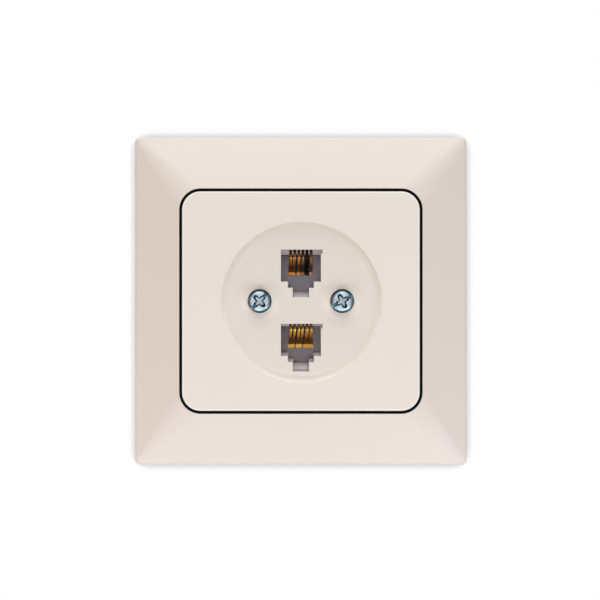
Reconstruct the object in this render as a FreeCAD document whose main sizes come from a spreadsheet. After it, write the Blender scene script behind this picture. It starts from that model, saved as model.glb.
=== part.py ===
import FreeCAD, Part
import math
import os
import re

import Sketcher
from FreeCAD import Placement, Rotation, Vector

# Flush telephone wall socket with two modular jacks, in millimetres.
# +X is to the right, +Z is up and +Y points into the wall, so the front faces -Y.
# The wall's surface is the plane y = 0, and the origin is the centre of the mounting strap's back.

SIZES = {
    # Outer frame, measured from the wall
    "frame_width": 83.6,
    "frame_height": 82.6,
    "frame_corner_radius": 1.1,
    "frame_edge": 3.8,
    "frame_front": 9.0,
    "frame_wall": 2.0,
    "frame_edge_round": 0.8,
    "window_width": 60.1,
    "window_height": 55.6,
    "window_radius": 5.2,
    "window_edge_round": 0.25,
    "collar_wall": 1.8,
    "ledge_front": 5.0,
    "ledge_thickness": 1.4,
    "ledge_width": 2.05,
    "frame_rib_thickness": 1.2,
    "frame_rib_spacing": 32.0,
    "frame_rib_setback": 1.0,
    # Centre plate
    "window_gap": 0.5,
    "plate_front": 9.2,
    "plate_thickness": 2.0,
    "plate_edge_round": 0.35,
    "skirt_wall": 1.6,
    "dish_diameter": 39.7,
    "dish_floor_diameter": 36.4,
    "dish_depth": 1.1,
    "dish_floor_thickness": 1.8,
    "dish_side": 0.2,
    "dish_drop": 0.5,
    "dish_backing_margin": 1.4,
    # Openings for the plugs, and how far the jacks behind them sit below
    "cutout_top": 12.85,
    "cutout_pitch": 18.5,
    "cutout_width": 10.0,
    "cutout_height": 8.0,
    "cutout_step_width": 6.5,
    "cutout_step_height": 1.55,
    "cutout_latch_width": 4.1,
    "cutout_latch_height": 2.35,
    "cutout_notch_width": 0.4,
    "cutout_notch_height": 1.1,
    # Cover screws, M3 pan heads
    "screw_spacing": 20.5,
    "screw_diameter": 3.0,
    "screw_length": 11.0,
    "screw_head_diameter": 6.0,
    "screw_head_rim": 0.7,
    "screw_head_height": 1.9,
    "screw_hole_clearance": 0.2,
    "screw_slot_width": 0.9,
    "screw_slot_depth": 0.8,
    "screw_cross_length": 3.4,
    "screw_cross_width": 0.85,
    "screw_cross_depth": 1.3,
    "left_slot_turn": 45.0,
    "right_slot_turn": 28.0,
    "bush_diameter": 4.4,
    "bush_length": 5.0,
    "thread_clearance": 0.04,
    # Mounting strap of galvanised sheet
    "strap_room_side": 4.3,
    "strap_room_end": 3.8,
    "strap_thickness": 1.0,
    "strap_corner_cut": 9.0,
    "strap_bend_radius": 0.8,
    "strap_lip_length": 22.0,
    "strap_lip_height": 2.0,
    "box_screw_spacing": 60.0,
    "box_screw_slot_width": 3.8,
    "box_screw_slot_length": 7.6,
    # Base moulding
    "base_end_room": 1.5,
    "base_wall": 1.6,
    "base_fit": 0.25,
    "base_corner_radius": 1.5,
    "flange_overlap_side": 4.0,
    "flange_overlap_end": 5.0,
    "flange_thickness": 2.0,
    "tower_diameter": 6.4,
    "tower_gap": 0.3,
    "tower_reach": 5.0,
    "rivet_spacing_side": 28.0,
    "rivet_margin": 2.75,
    "rivet_diameter": 2.2,
    "rivet_head_diameter": 3.4,
    "rivet_head_height": 0.7,
    # Modular jacks
    "jack_drop": 1.15,
    "jack_pitch": 17.95,
    "jack_front_gap": 0.1,
    "jack_width": 13.2,
    "jack_depth": 14.2,
    "jack_roof": 2.2,
    "jack_floor": 0.9,
    "cavity_width": 9.85,
    "cavity_height": 6.8,
    "cavity_depth": 12.4,
    "cavity_step_width": 6.3,
    "cavity_step_height": 1.6,
    "cavity_latch_width": 3.9,
    "cavity_latch_height": 2.35,
    "ramp_start": 0.8,
    "ramp_length": 4.6,
    "ramp_height": 1.4,
    # Contacts and the carrier that holds them
    "contact_count": 6,
    "contact_pitch": 1.02,
    "contact_width": 0.66,
    "contact_thickness": 0.3,
    "contact_rise": 0.9,
    "contact_setback": 0.7,
    "contact_bend_radius": 0.45,
    "contact_dip": 0.4,
    "contact_reach": 10.4,
    "contact_fall": 4.1,
    "contact_tip_run": 0.35,
    "contact_tip_fall": 0.9,
    "comb_slot_clearance": 0.06,
    "comb_depth": 2.4,
    "carrier_width": 7.2,
    "carrier_front": 2.0,
    "carrier_lift": 0.3,
    "carrier_height": 1.4,
    "carrier_fit": 0.05,
    # Circuit board
    "board_thickness": 1.6,
    "board_fit": 0.2,
    "board_margin": 1.46,
    "board_corner_block": 3.2,
    "board_screw_side": 13.6,
    "board_screw_height": 6.8,
    "board_screw_post": 5.0,
    "board_screw_diameter": 2.2,
    "board_screw_length": 7.0,
    "board_screw_head_diameter": 4.2,
    "board_screw_head_height": 1.5,
    "pin_hole_clearance": 0.06,
    # Screw terminals behind the board
    "terminal_pitch": 5.08,
    "terminal_block_end": 0.5,
    "terminal_block_depth": 9.5,
    "terminal_block_height": 7.6,
    "terminal_margin": 0.3,
    "terminal_chamfer": 0.5,
    "terminal_well_diameter": 3.7,
    "cage_width": 3.5,
    "cage_depth": 5.2,
    "cage_height": 4.8,
    "cage_wall": 0.55,
    "cage_fit": 0.1,
    "cage_seat": 1.6,
    "cage_pin": 0.9,
    "terminal_screw_diameter": 2.2,
    "terminal_screw_length": 3.4,
    "terminal_screw_head_diameter": 3.4,
    "terminal_screw_head_height": 1.5,
    "terminal_screw_slot": 0.6,
}

doc = FreeCAD.newDocument("TelephoneSocket")
sheet = doc.addObject("Spreadsheet::Sheet", "Sizes")
for row, (alias, number) in enumerate(SIZES.items(), start=1):
    sheet.set(f"A{row}", alias)
    sheet.set(f"B{row}", str(number))
    sheet.setAlias(f"B{row}", alias)
doc.recompute()

SUB_PARTS = []


# Formulas over the sheet

def bound(formula):
    """The formula with each size's name led by the sheet that holds it."""
    return re.sub(r"[a-z]\w*", lambda word: f"Sizes.{word[0]}" if word[0] in SIZES else word[0], formula)


def value(formula):
    """The number that a formula over the sheet gives."""
    return float(sheet.evalExpression(bound(formula)))


# Places along Y that several pieces share

LEDGE_FRONT = "-ledge_front"
LEDGE_REAR = "-(ledge_front - ledge_thickness)"
DISH_FLOOR = "-(plate_front - dish_depth)"
PLATE_REAR = "-(plate_front - dish_depth - dish_floor_thickness)"
STRAP_FRONT = "-strap_thickness"
FLANGE_FRONT = "-(strap_thickness + flange_thickness)"
TOWER_FRONT = f"({PLATE_REAR}) + tower_gap"
JACK_FRONT = f"({PLATE_REAR}) + jack_front_gap"
BOARD_FRONT = f"({JACK_FRONT}) + jack_depth"
BOARD_REAR = f"({BOARD_FRONT}) + board_thickness"
CAGE_FRONT = "cage_seat"
CAGE_REAR = "cage_seat + cage_depth"

# Heights of the two jacks' cavity tops, and the depth of a cavity under its top

JACK_TOPS = {
    "upper": "cutout_top - jack_drop",
    "lower": "cutout_top - jack_drop - jack_pitch",
}
CAVITY_BOTTOM = "cavity_height + cavity_step_height + cavity_latch_height"
JACK_HEIGHT = f"{CAVITY_BOTTOM} + jack_floor + jack_roof"
JACK_MIDDLE = f"(jack_roof - ({CAVITY_BOTTOM}) - jack_floor) / 2"
PLUG_WIDTH = "window_width - 2 * window_gap"
PLUG_HEIGHT = "window_height - 2 * window_gap"
STRAP_WIDTH = "(frame_width - 2 * frame_wall - 2 * strap_room_side)"
STRAP_HEIGHT = "(frame_height - 2 * frame_wall - 2 * strap_room_end)"

# The tub reaches round the lower jack, and the board in it carries the terminal blocks

TERMINAL_LENGTH = "(contact_count * terminal_pitch + 2 * terminal_block_end)"
BOARD_WIDTH = f"({TERMINAL_LENGTH} + 2 * board_margin)"
BASE_INNER_WIDTH = f"({BOARD_WIDTH} + 2 * board_fit)"
BASE_INNER_HEIGHT = f"(2 * ({CAVITY_BOTTOM} + jack_floor - ({JACK_TOPS['lower']}) + base_end_room))"
BASE_WIDTH = f"({BASE_INNER_WIDTH} + 2 * base_wall)"
BASE_HEIGHT = f"({BASE_INNER_HEIGHT} + 2 * base_wall)"
BOARD_HEIGHT = f"({BASE_INNER_HEIGHT} - 2 * board_fit)"
TERMINAL_PLACE = f"({BOARD_HEIGHT} / 2 - terminal_margin - terminal_block_height / 2)"


# Sketches

def new_body(name):
    """A body that becomes the sub-part of that name."""
    body = doc.addObject("PartDesign::Body", name)
    body.Label = name
    SUB_PARTS.append(body)
    return body


def origin_feature(body, role):
    """One of the body's own origin planes or axes."""
    return next(feature for feature in body.Origin.OriginFeatures if feature.Role == role)


def new_sketch(body, name, plane, offset):
    """A sketch on the body's origin plane, moved along the plane's normal by the offset."""
    sketch = body.newObject("Sketcher::SketchObject", f"{body.Name}_{name}")
    sketch.AttachmentSupport = [(origin_feature(body, plane), "")]
    sketch.MapMode = "FlatFace"
    sketch.setExpression("AttachmentOffset.Base.z", bound(offset))
    return sketch


def join(sketch, kind, *ends):
    """Adds a constraint that carries no number."""
    sketch.addConstraint(Sketcher.Constraint(kind, *ends))


def fix(sketch, kind, *ends, formula):
    """Adds a constraint whose number is a formula over the sheet."""
    sketch.addConstraint(Sketcher.Constraint(kind, *ends, value(formula)))
    sketch.setExpression(f"Constraints[{sketch.ConstraintCount - 1}]", bound(formula))


def fix_point(sketch, item, end, x, y):
    """Holds one point of an item at a place given by two formulas."""
    fix(sketch, "DistanceX", -1, 1, item, end, formula=x)
    fix(sketch, "DistanceY", -1, 1, item, end, formula=y)


def point(x, y):
    """The sketch point that two formulas give."""
    return Vector(value(x), value(y), 0)


def polygon(sketch, corners):
    """A closed outline of straight lines through corners given as formulas."""
    points = [point(x, y) for x, y in corners]
    lines = []
    for start, end in zip(points, points[1:] + points[:1]):
        lines.append(sketch.addGeometry(Part.LineSegment(start, end), False))
    for line, following in zip(lines, lines[1:] + lines[:1]):
        join(sketch, "Coincident", line, 2, following, 1)
    for line, (x, y) in zip(lines, corners):
        fix_point(sketch, line, 1, x, y)


def rectangle(sketch, width, height, x="0", y="0"):
    """A rectangle about a centre."""
    signs = [(-1, -1), (1, -1), (1, 1), (-1, 1)]
    polygon(sketch, [(f"({x}) + {i} * ({width}) / 2", f"({y}) + {j} * ({height}) / 2") for i, j in signs])


def circle(sketch, diameter, x="0", y="0"):
    """A circle about a centre."""
    item = sketch.addGeometry(Part.Circle(point(x, y), Vector(0, 0, 1), value(diameter) / 2), False)
    fix_point(sketch, item, 3, x, y)
    fix(sketch, "Radius", item, formula=f"({diameter}) / 2")


def arc(sketch, centre, radius, start, sweep):
    """An arc about a centre, by its start angle and its sweep in radians."""
    whole = Part.Circle(centre, Vector(0, 0, 1), radius)
    return sketch.addGeometry(Part.ArcOfCircle(whole, start, start + sweep), False)


def arcs_and_lines(sketch, centres, radius):
    """A closed outline of equal arcs about centres, counter-clockwise, joined by tangent lines."""
    sweep = 2 * math.pi / len(centres)
    arcs = []
    for x, y, start in centres:
        arcs.append(arc(sketch, point(x, y), value(radius), start, sweep))
    lines = []
    for item, following in zip(arcs, arcs[1:] + arcs[:1]):
        ends = sketch.Geometry[item].EndPoint, sketch.Geometry[following].StartPoint
        lines.append(sketch.addGeometry(Part.LineSegment(*ends), False))
    for item, line, following in zip(arcs, lines, arcs[1:] + arcs[:1]):
        join(sketch, "Tangent", item, 2, line, 1)
        join(sketch, "Tangent", line, 2, following, 1)
    fix(sketch, "Radius", arcs[0], formula=radius)
    for item in arcs[1:]:
        join(sketch, "Equal", arcs[0], item)
    for item, (x, y, start) in zip(arcs, centres):
        fix_point(sketch, item, 3, x, y)


def rounded(sketch, width, height, radius):
    """A rectangle about the origin with rounded corners."""
    x = f"(({width}) / 2 - ({radius}))"
    y = f"(({height}) / 2 - ({radius}))"
    quarter = math.pi / 2
    centres = [(x, y, 0), (f"-{x}", y, quarter), (f"-{x}", f"-{y}", 2 * quarter), (x, f"-{y}", 3 * quarter)]
    arcs_and_lines(sketch, centres, radius)


def slot(sketch, length, width, x, y, upright):
    """A slot with round ends about a centre, lying along X or standing along Y."""
    reach = f"(({length}) - ({width})) / 2"
    if upright:
        centres = [(x, f"({y}) + {reach}", 0), (x, f"({y}) - {reach}", math.pi)]
    else:
        centres = [(f"({x}) + {reach}", y, -math.pi / 2), (f"({x}) - {reach}", y, math.pi / 2)]
    arcs_and_lines(sketch, centres, f"({width}) / 2")


def rounded_path(sketch, corners, radius):
    """An open path through corners given as formulas, with each inner corner rounded to the radius."""
    points = [point(x, y) for x, y in corners]
    trims = [0.0]
    for before, corner, after in zip(points, points[1:], points[2:]):
        trims.append(value(radius) * math.tan((corner - before).getAngle(after - corner) / 2))
    trims.append(0.0)
    lines = []
    for number, (start, end) in enumerate(zip(points, points[1:])):
        along = (end - start).normalize()
        ends = start + along * trims[number], end - along * trims[number + 1]
        lines.append(sketch.addGeometry(Part.LineSegment(*ends), False))
    for before, after, corner, formulas in zip(lines, lines[1:], points[1:], corners[1:]):
        bend, first, last = bend_between(sketch, before, after, value(radius))
        join(sketch, "Tangent", before, 2, bend, first)
        join(sketch, "Tangent", bend, last, after, 1)
        fix(sketch, "Radius", bend, formula=radius)
        sharp = sketch.addGeometry(Part.Point(corner), True)
        join(sketch, "PointOnObject", sharp, 1, before)
        join(sketch, "PointOnObject", sharp, 1, after)
        fix_point(sketch, sharp, 1, *formulas)
    fix_point(sketch, lines[0], 1, *corners[0])
    fix_point(sketch, lines[-1], 2, *corners[-1])


def bend_between(sketch, before, after, radius):
    """A counter-clockwise arc between two lines of a path, with its ends in the path's order."""
    leaves, meets = sketch.Geometry[before].EndPoint, sketch.Geometry[after].StartPoint
    along = (leaves - sketch.Geometry[before].StartPoint).normalize()
    onward = (sketch.Geometry[after].EndPoint - meets).normalize()
    left = along.cross(onward).z > 0
    side = Vector(-along.y, along.x, 0) if left else Vector(along.y, -along.x, 0)
    centre = leaves + side * radius
    start = leaves if left else meets
    angle = math.atan2(start.y - centre.y, start.x - centre.x)
    bend = arc(sketch, centre, radius, angle, along.getAngle(onward))
    return (bend, 1, 2) if left else (bend, 2, 1)


# Features

def finish(body, feature):
    """Makes the feature the body's last one and works it out."""
    body.Tip = feature
    doc.recompute()
    return feature


def pad(body, name, front, rear, draw):
    """Material between two places along Y, with the outline that draw gives."""
    sketch = new_sketch(body, f"{name}Outline", "XZ_Plane", f"-({rear})")
    draw(sketch)
    feature = body.newObject("PartDesign::Pad", f"{body.Name}_{name}")
    feature.Profile = sketch
    feature.setExpression("Length", bound(f"({rear}) - ({front})"))
    return finish(body, feature)


def pocket(body, name, front, rear, draw):
    """A cut between two places along Y, with the outline that draw gives."""
    volume = body.Shape.Volume
    sketch = new_sketch(body, f"{name}Outline", "XZ_Plane", f"-({front})")
    draw(sketch)
    feature = body.newObject("PartDesign::Pocket", f"{body.Name}_{name}")
    feature.Profile = sketch
    feature.setExpression("Length", bound(f"({rear}) - ({front})"))
    finish(body, feature)
    if feature.Shape.Volume >= volume:
        raise RuntimeError(f"{feature.Name} cuts nothing")
    return feature


def side_pad(body, name, plane, low, high, draw):
    """Material between two places along the normal of an origin plane."""
    sketch = new_sketch(body, f"{name}Outline", plane, low)
    draw(sketch)
    feature = body.newObject("PartDesign::Pad", f"{body.Name}_{name}")
    feature.Profile = sketch
    feature.setExpression("Length", bound(f"({high}) - ({low})"))
    return finish(body, feature)


def loft(body, name, kind, sections):
    """A ruled loft through outlines given as (place along Y, draw)."""
    sketches = []
    for number, (place, draw) in enumerate(sections):
        sketch = new_sketch(body, f"{name}Section{number}", "XZ_Plane", f"-({place})")
        draw(sketch)
        sketches.append(sketch)
    feature = body.newObject(kind, f"{body.Name}_{name}")
    feature.Profile = sketches[0]
    feature.Sections = sketches[1:]
    feature.Ruled = True
    return finish(body, feature)


def repeat(body, name, features, axis, length, count, backwards=False):
    """Copies of features in a row along one of the body's own axes."""
    feature = body.newObject("PartDesign::LinearPattern", f"{body.Name}_{name}")
    feature.Originals = features
    feature.Direction = (origin_feature(body, axis), [""])
    feature.Reversed = backwards
    feature.setExpression("Length", bound(length))
    feature.Occurrences = int(value(count))
    return finish(body, feature)


def round_edges(body, name, kind, size, chosen):
    """Rounds or chamfers the edges of the body's last feature whose bounding boxes are chosen."""
    base = body.Tip
    edges = [f"Edge{n}" for n, edge in enumerate(base.Shape.Edges, start=1) if chosen(edge.BoundBox)]
    if not edges:
        raise RuntimeError(f"{name} finds no edge")
    feature = body.newObject(kind, f"{body.Name}_{name}")
    feature.Base = (base, edges)
    feature.setExpression("Radius" if kind.endswith("Fillet") else "Size", bound(size))
    return finish(body, feature)


def lies_at(number, low, high):
    """Whether an edge lies in a plane at the number, by the ends of its box along the plane's normal."""
    return abs(low - number) < 1e-4 and abs(high - number) < 1e-4


def place(body, x="0", y="0", z="0", turn="0"):
    """Puts a body at a place given by formulas, turned about the Y axis."""
    body.Placement = Placement(Vector(value(x), value(y), value(z)), Rotation(Vector(0, 1, 0), value(turn)))
    for axis, formula in zip("xyz", (x, y, z)):
        body.setExpression(f"Placement.Base.{axis}", bound(formula))


# Outer frame: a hollow sloping surround with a collar round its window and a ledge that carries the plate

def frame_outline(inset="0"):
    """The frame's outer outline, moved inwards."""
    return lambda sketch: rounded(
        sketch, f"frame_width - 2 * ({inset})", f"frame_height - 2 * ({inset})", "frame_corner_radius")


def window_outline(grow="0"):
    """The window's outline, moved outwards."""
    return lambda sketch: rounded(
        sketch, f"window_width + 2 * ({grow})", f"window_height + 2 * ({grow})", f"window_radius + ({grow})")


def frame_ribs(body, name, plane, half_outer, half_window):
    """Two ribs from the rim to the collar on one side of the frame, then the same on the other side."""
    rise = "(frame_front - frame_edge)"
    inner = f"({half_window} + collar_wall / 2)"
    outer = f"({half_outer} - frame_wall / 2)"
    border = f"({half_outer} - {half_window})"
    under_inner = f"-(frame_edge + {rise} * ({half_outer} - {inner}) / {border} - frame_wall / 2)"
    under_outer = f"-(frame_edge + {rise} * ({half_outer} - {outer}) / {border} - frame_wall / 2)"
    across = {"XY_Plane": "Z_Axis", "YZ_Plane": "X_Axis"}[plane]
    for side, sign in (("First", "1"), ("Second", "-1")):
        corners = [
            (f"{sign} * {inner}", "-frame_rib_setback"),
            (f"{sign} * {outer}", "-frame_rib_setback"),
            (f"{sign} * {outer}", under_outer),
            (f"{sign} * {inner}", under_inner),
        ]
        if plane == "YZ_Plane":
            corners = [(y, x) for x, y in corners]
        middle = "-frame_rib_spacing / 2"
        low = f"{middle} - frame_rib_thickness / 2"
        high = f"{middle} + frame_rib_thickness / 2"
        rib = side_pad(body, f"{name}{side}", plane, low, high, lambda sketch: polygon(sketch, corners))
        repeat(body, f"{name}{side}Pair", [rib], across, "frame_rib_spacing", "2")


def outer_frame():
    body = new_body("outer_frame")
    edge, front = value("-frame_edge"), value("-frame_front")
    pad(body, "Rim", "-frame_edge", "0", frame_outline())
    loft(body, "Face", "PartDesign::AdditiveLoft",
         [("-frame_edge", frame_outline()), ("-frame_front", window_outline())])
    round_edges(body, "RimRound", "PartDesign::Fillet", "frame_edge_round",
                lambda box: lies_at(edge, box.YMin, box.YMax))
    slope = "(frame_front - frame_edge) * frame_wall / ((frame_width - window_width) / 2)"
    rim_inside = f"-(frame_edge + {slope} - frame_wall * 1.1)"
    pocket(body, "Underside", rim_inside, "0", frame_outline("frame_wall"))
    loft(body, "UnderFace", "PartDesign::SubtractiveLoft",
         [(rim_inside, frame_outline("frame_wall")), ("-(frame_front - frame_wall * 1.1)", window_outline())])
    pad(body, "Collar", "-(frame_front - frame_wall * 0.8)", LEDGE_REAR, window_outline("collar_wall"))
    pocket(body, "Window", "-(frame_front + window_gap)", LEDGE_FRONT, window_outline())
    pocket(body, "Opening", LEDGE_FRONT, LEDGE_REAR, window_outline("-ledge_width"))
    round_edges(body, "WindowRound", "PartDesign::Fillet", "window_edge_round",
                lambda box: lies_at(front, box.YMin, box.YMax))
    frame_ribs(body, "SideRib", "XY_Plane", "frame_width / 2", "window_width / 2")
    frame_ribs(body, "EndRib", "YZ_Plane", "frame_height / 2", "window_height / 2")
    return body


# Centre plate: a shallow cap with a round dish, two screw holes and two openings for plugs

def plate_outline(inset="0"):
    """The centre plate's outline, moved inwards."""
    return lambda sketch: rounded(
        sketch, f"{PLUG_WIDTH} - 2 * ({inset})", f"{PLUG_HEIGHT} - 2 * ({inset})",
        f"window_radius - window_gap - ({inset})")


def plug_cutout(sketch):
    """The upper plug opening: wide for the plug, then two steps down for its latch, and a corner notch."""
    step = "cutout_top - cutout_height"
    latch = "cutout_top - cutout_height - cutout_step_height"
    foot = "cutout_top - cutout_height - cutout_step_height - cutout_latch_height"
    notch = "cutout_width / 2 + cutout_notch_width"
    polygon(sketch, [
        ("-cutout_width / 2", "cutout_top"),
        ("-cutout_width / 2", step),
        ("-cutout_step_width / 2", step),
        ("-cutout_step_width / 2", latch),
        ("-cutout_latch_width / 2", latch),
        ("-cutout_latch_width / 2", foot),
        ("cutout_latch_width / 2", foot),
        ("cutout_latch_width / 2", latch),
        ("cutout_step_width / 2", latch),
        ("cutout_step_width / 2", step),
        ("cutout_width / 2", step),
        ("cutout_width / 2", "cutout_top - cutout_notch_height"),
        (notch, "cutout_top - cutout_notch_height"),
        (notch, "cutout_top"),
    ])


def dish_groove(body):
    """The round dish: a flat floor and a concave wall that ends in a sharp rim."""
    sketch = new_sketch(body, "DishSection", "XY_Plane", "-dish_drop")
    width = "((dish_diameter - dish_floor_diameter) / 2)"
    sweep_radius = f"(({width} * {width} + dish_depth * dish_depth) / (2 * dish_depth))"
    radius, floor = value(sweep_radius), value(DISH_FLOOR)
    axis, inner, outer = value("dish_side"), value("dish_floor_diameter / 2"), value("dish_diameter / 2")
    front = value("-plate_front")
    centre = Vector(axis + inner, floor - radius, 0)
    start, end = Vector(axis + inner, floor, 0), Vector(axis + outer, front, 0)
    angle = math.atan2(end.y - centre.y, end.x - centre.x)
    wall = arc(sketch, centre, radius, angle, math.pi / 2 - angle)
    bottom = sketch.addGeometry(Part.LineSegment(start, Vector(axis, floor, 0)), False)
    middle = sketch.addGeometry(Part.LineSegment(Vector(axis, floor, 0), Vector(axis, front, 0)), False)
    top = sketch.addGeometry(Part.LineSegment(Vector(axis, front, 0), end), False)
    join(sketch, "Tangent", wall, 2, bottom, 1)
    join(sketch, "Coincident", bottom, 2, middle, 1)
    join(sketch, "Coincident", middle, 2, top, 1)
    join(sketch, "Coincident", top, 2, wall, 1)
    fix_point(sketch, bottom, 1, "dish_side + dish_floor_diameter / 2", DISH_FLOOR)
    fix_point(sketch, bottom, 2, "dish_side", DISH_FLOOR)
    fix_point(sketch, top, 1, "dish_side", "-plate_front")
    fix_point(sketch, top, 2, "dish_side + dish_diameter / 2", "-plate_front")
    feature = body.newObject("PartDesign::Groove", f"{body.Name}_Dish")
    feature.Profile = sketch
    feature.ReferenceAxis = (sketch, [f"Edge{middle + 1}"])
    feature.Angle = 360
    return finish(body, feature)


def centre_plate():
    body = new_body("centre_plate")
    front = value("-plate_front")
    pad(body, "Block", "-plate_front", LEDGE_FRONT, plate_outline())
    round_edges(body, "EdgeRound", "PartDesign::Fillet", "plate_edge_round",
                lambda box: lies_at(front, box.YMin, box.YMax))
    pocket(body, "Inside", "-(plate_front - plate_thickness)", LEDGE_FRONT, plate_outline("skirt_wall"))
    pad(body, "DishBacking", "-(plate_front - plate_thickness / 2)", PLATE_REAR,
        lambda sketch: circle(sketch, "dish_diameter + 2 * dish_backing_margin", "dish_side", "-dish_drop"))
    volume = body.Shape.Volume
    dish_groove(body)
    if body.Shape.Volume >= volume:
        raise RuntimeError("The dish cuts nothing")
    cutout = pocket(body, "PlugCutout", "-plate_front", PLATE_REAR, plug_cutout)
    repeat(body, "PlugCutouts", [cutout], "Z_Axis", "cutout_pitch", "2", backwards=True)
    hole = "screw_diameter + 2 * screw_hole_clearance"
    pocket(body, "ScrewHoles", "-plate_front", PLATE_REAR, at_cover_screws(hole))
    return body


def at_cover_screws(diameter):
    """A circle about each cover screw's axis."""
    def draw(sketch):
        circle(sketch, diameter, "-screw_spacing / 2")
        circle(sketch, diameter, "screw_spacing / 2")
    return draw


# Cover screws, and the threaded bushes in the base that take them

def cover_screw(name, x, turn):
    """A pan-head screw with a slot and a cross in its domed head, whose seat is at y = 0."""
    body = new_body(name)
    radius = value("screw_head_diameter / 2")
    rim, height = value("screw_head_rim"), value("screw_head_height")
    sketch = new_sketch(body, "Section", "XY_Plane", "0")
    dome = height - rim
    ball = (radius * radius + dome * dome) / (2 * dome)
    centre = Vector(0, ball - height, 0)
    angle = math.atan2(-rim - centre.y, radius)
    crown = arc(sketch, centre, ball, -math.pi / 2, angle + math.pi / 2)
    corners = [
        ("screw_head_diameter / 2", "-screw_head_rim"),
        ("screw_head_diameter / 2", "0"),
        ("screw_diameter / 2", "0"),
        ("screw_diameter / 2", "screw_length"),
        ("0", "screw_length"),
        ("0", "-screw_head_height"),
    ]
    lines = []
    for start, end in zip(corners, corners[1:]):
        lines.append(sketch.addGeometry(Part.LineSegment(point(*start), point(*end)), False))
    for line, following in zip(lines, lines[1:]):
        join(sketch, "Coincident", line, 2, following, 1)
    for line, (x_place, y_place) in zip(lines, corners):
        fix_point(sketch, line, 1, x_place, y_place)
    fix_point(sketch, lines[-1], 2, *corners[-1])
    join(sketch, "Coincident", crown, 2, lines[0], 1)
    join(sketch, "Coincident", crown, 1, lines[-1], 2)
    join(sketch, "PointOnObject", crown, 3, -2)
    feature = body.newObject("PartDesign::Revolution", f"{body.Name}_Turned")
    feature.Profile = sketch
    feature.ReferenceAxis = (sketch, ["V_Axis"])
    feature.Angle = 360
    finish(body, feature)
    pocket(body, "Slot", "-screw_head_height", "-(screw_head_height - screw_slot_depth)",
           lambda sketch: rectangle(sketch, "screw_head_diameter", "screw_slot_width"))
    for number, (width, height) in enumerate((("screw_cross_length", "screw_cross_width"),
                                              ("screw_cross_width", "screw_cross_length"))):
        pocket(body, f"Cross{number}", "-screw_head_height", "-(screw_head_height - screw_cross_depth)",
               lambda sketch: rectangle(sketch, width, height))
    place(body, x=x, y=DISH_FLOOR, turn=turn)
    return body


def cover_screw_bushes():
    body = new_body("cover_screw_bushes")
    rear = f"({TOWER_FRONT}) + bush_length"
    pad(body, "Sleeve", TOWER_FRONT, rear, at_cover_screws("bush_diameter"))
    pocket(body, "Bore", TOWER_FRONT, rear, at_cover_screws("screw_diameter + 2 * thread_clearance"))
    return body


# Mounting strap: a square of sheet with cut corners, slots for the box screws and two bent lips

def mounting_strap():
    body = new_body("mounting_strap")
    half_width, half_height = f"{STRAP_WIDTH} / 2", f"{STRAP_HEIGHT} / 2"
    near_width, near_height = f"({half_width} - strap_corner_cut)", f"({half_height} - strap_corner_cut)"
    outline = [
        (half_width, near_height), (near_width, half_height),
        (f"-{near_width}", half_height), (f"-({half_width})", near_height),
        (f"-({half_width})", f"-{near_height}"), (f"-{near_width}", f"-({half_height})"),
        (near_width, f"-({half_height})"), (half_width, f"-{near_height}"),
    ]
    pad(body, "Sheet", STRAP_FRONT, "0", lambda sketch: polygon(sketch, outline))
    lip = f"{half_width} - strap_thickness / 2"
    lip_front = "-(strap_thickness + strap_lip_height)"

    def lips(sketch):
        rectangle(sketch, "strap_thickness", "strap_lip_length", lip)
        rectangle(sketch, "strap_thickness", "strap_lip_length", f"-({lip})")
    pad(body, "Lips", lip_front, "0", lips)
    side = value(half_width)
    round_edges(body, "LipBend", "PartDesign::Fillet", "strap_bend_radius",
                lambda box: lies_at(0, box.YMin, box.YMax) and
                (lies_at(side, box.XMin, box.XMax) or lies_at(-side, box.XMin, box.XMax)))
    pocket(body, "Opening", STRAP_FRONT, "0", lambda sketch: rounded(
        sketch, f"{BASE_WIDTH} + 2 * base_fit", f"{BASE_HEIGHT} + 2 * base_fit", "base_corner_radius"))

    def box_screw_slots(sketch):
        length, width = "box_screw_slot_length", "box_screw_slot_width"
        for middle in ("-box_screw_spacing / 2", "box_screw_spacing / 2"):
            slot(sketch, length, width, middle, "0", False)
            slot(sketch, length, width, "0", middle, True)
    pocket(body, "BoxScrewSlots", STRAP_FRONT, "0", box_screw_slots)
    pocket(body, "RivetHoles", STRAP_FRONT, "0", at_rivets("rivet_diameter + 2 * thread_clearance"))
    return body


def at_rivets(diameter):
    """A circle about each rivet's axis."""
    def draw(sketch):
        for side in ("-", ""):
            for end in ("-", ""):
                height = f"{end}({BASE_HEIGHT} / 2 + rivet_margin)"
                circle(sketch, diameter, f"{side}rivet_spacing_side / 2", height)
    return draw


def strap_rivets():
    body = new_body("strap_rivets")
    front = f"({FLANGE_FRONT}) - rivet_head_height"
    pad(body, "FrontHeads", front, FLANGE_FRONT, at_rivets("rivet_head_diameter"))
    pad(body, "Shanks", FLANGE_FRONT, "0", at_rivets("rivet_diameter"))
    pad(body, "RearHeads", "0", "rivet_head_height", at_rivets("rivet_head_diameter"))
    faces = value(front), value("rivet_head_height")
    round_edges(body, "HeadChamfer", "PartDesign::Chamfer", "rivet_head_height / 2",
                lambda box: any(lies_at(face, box.YMin, box.YMax) for face in faces))
    return body


# Base moulding: a flange in front of the strap, a tub behind it, and towers for the cover screws

def at_jacks(draw_width, draw_height):
    """A rectangle round each jack."""
    def draw(sketch):
        for top in JACK_TOPS.values():
            rectangle(sketch, draw_width, draw_height, "0", f"({top}) + {JACK_MIDDLE}")
    return draw


def at_board_screws(diameter):
    """A circle about each board screw's axis."""
    def draw(sketch):
        circle(sketch, diameter, "-board_screw_side", "board_screw_height")
        circle(sketch, diameter, "board_screw_side", "-board_screw_height")
    return draw


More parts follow.
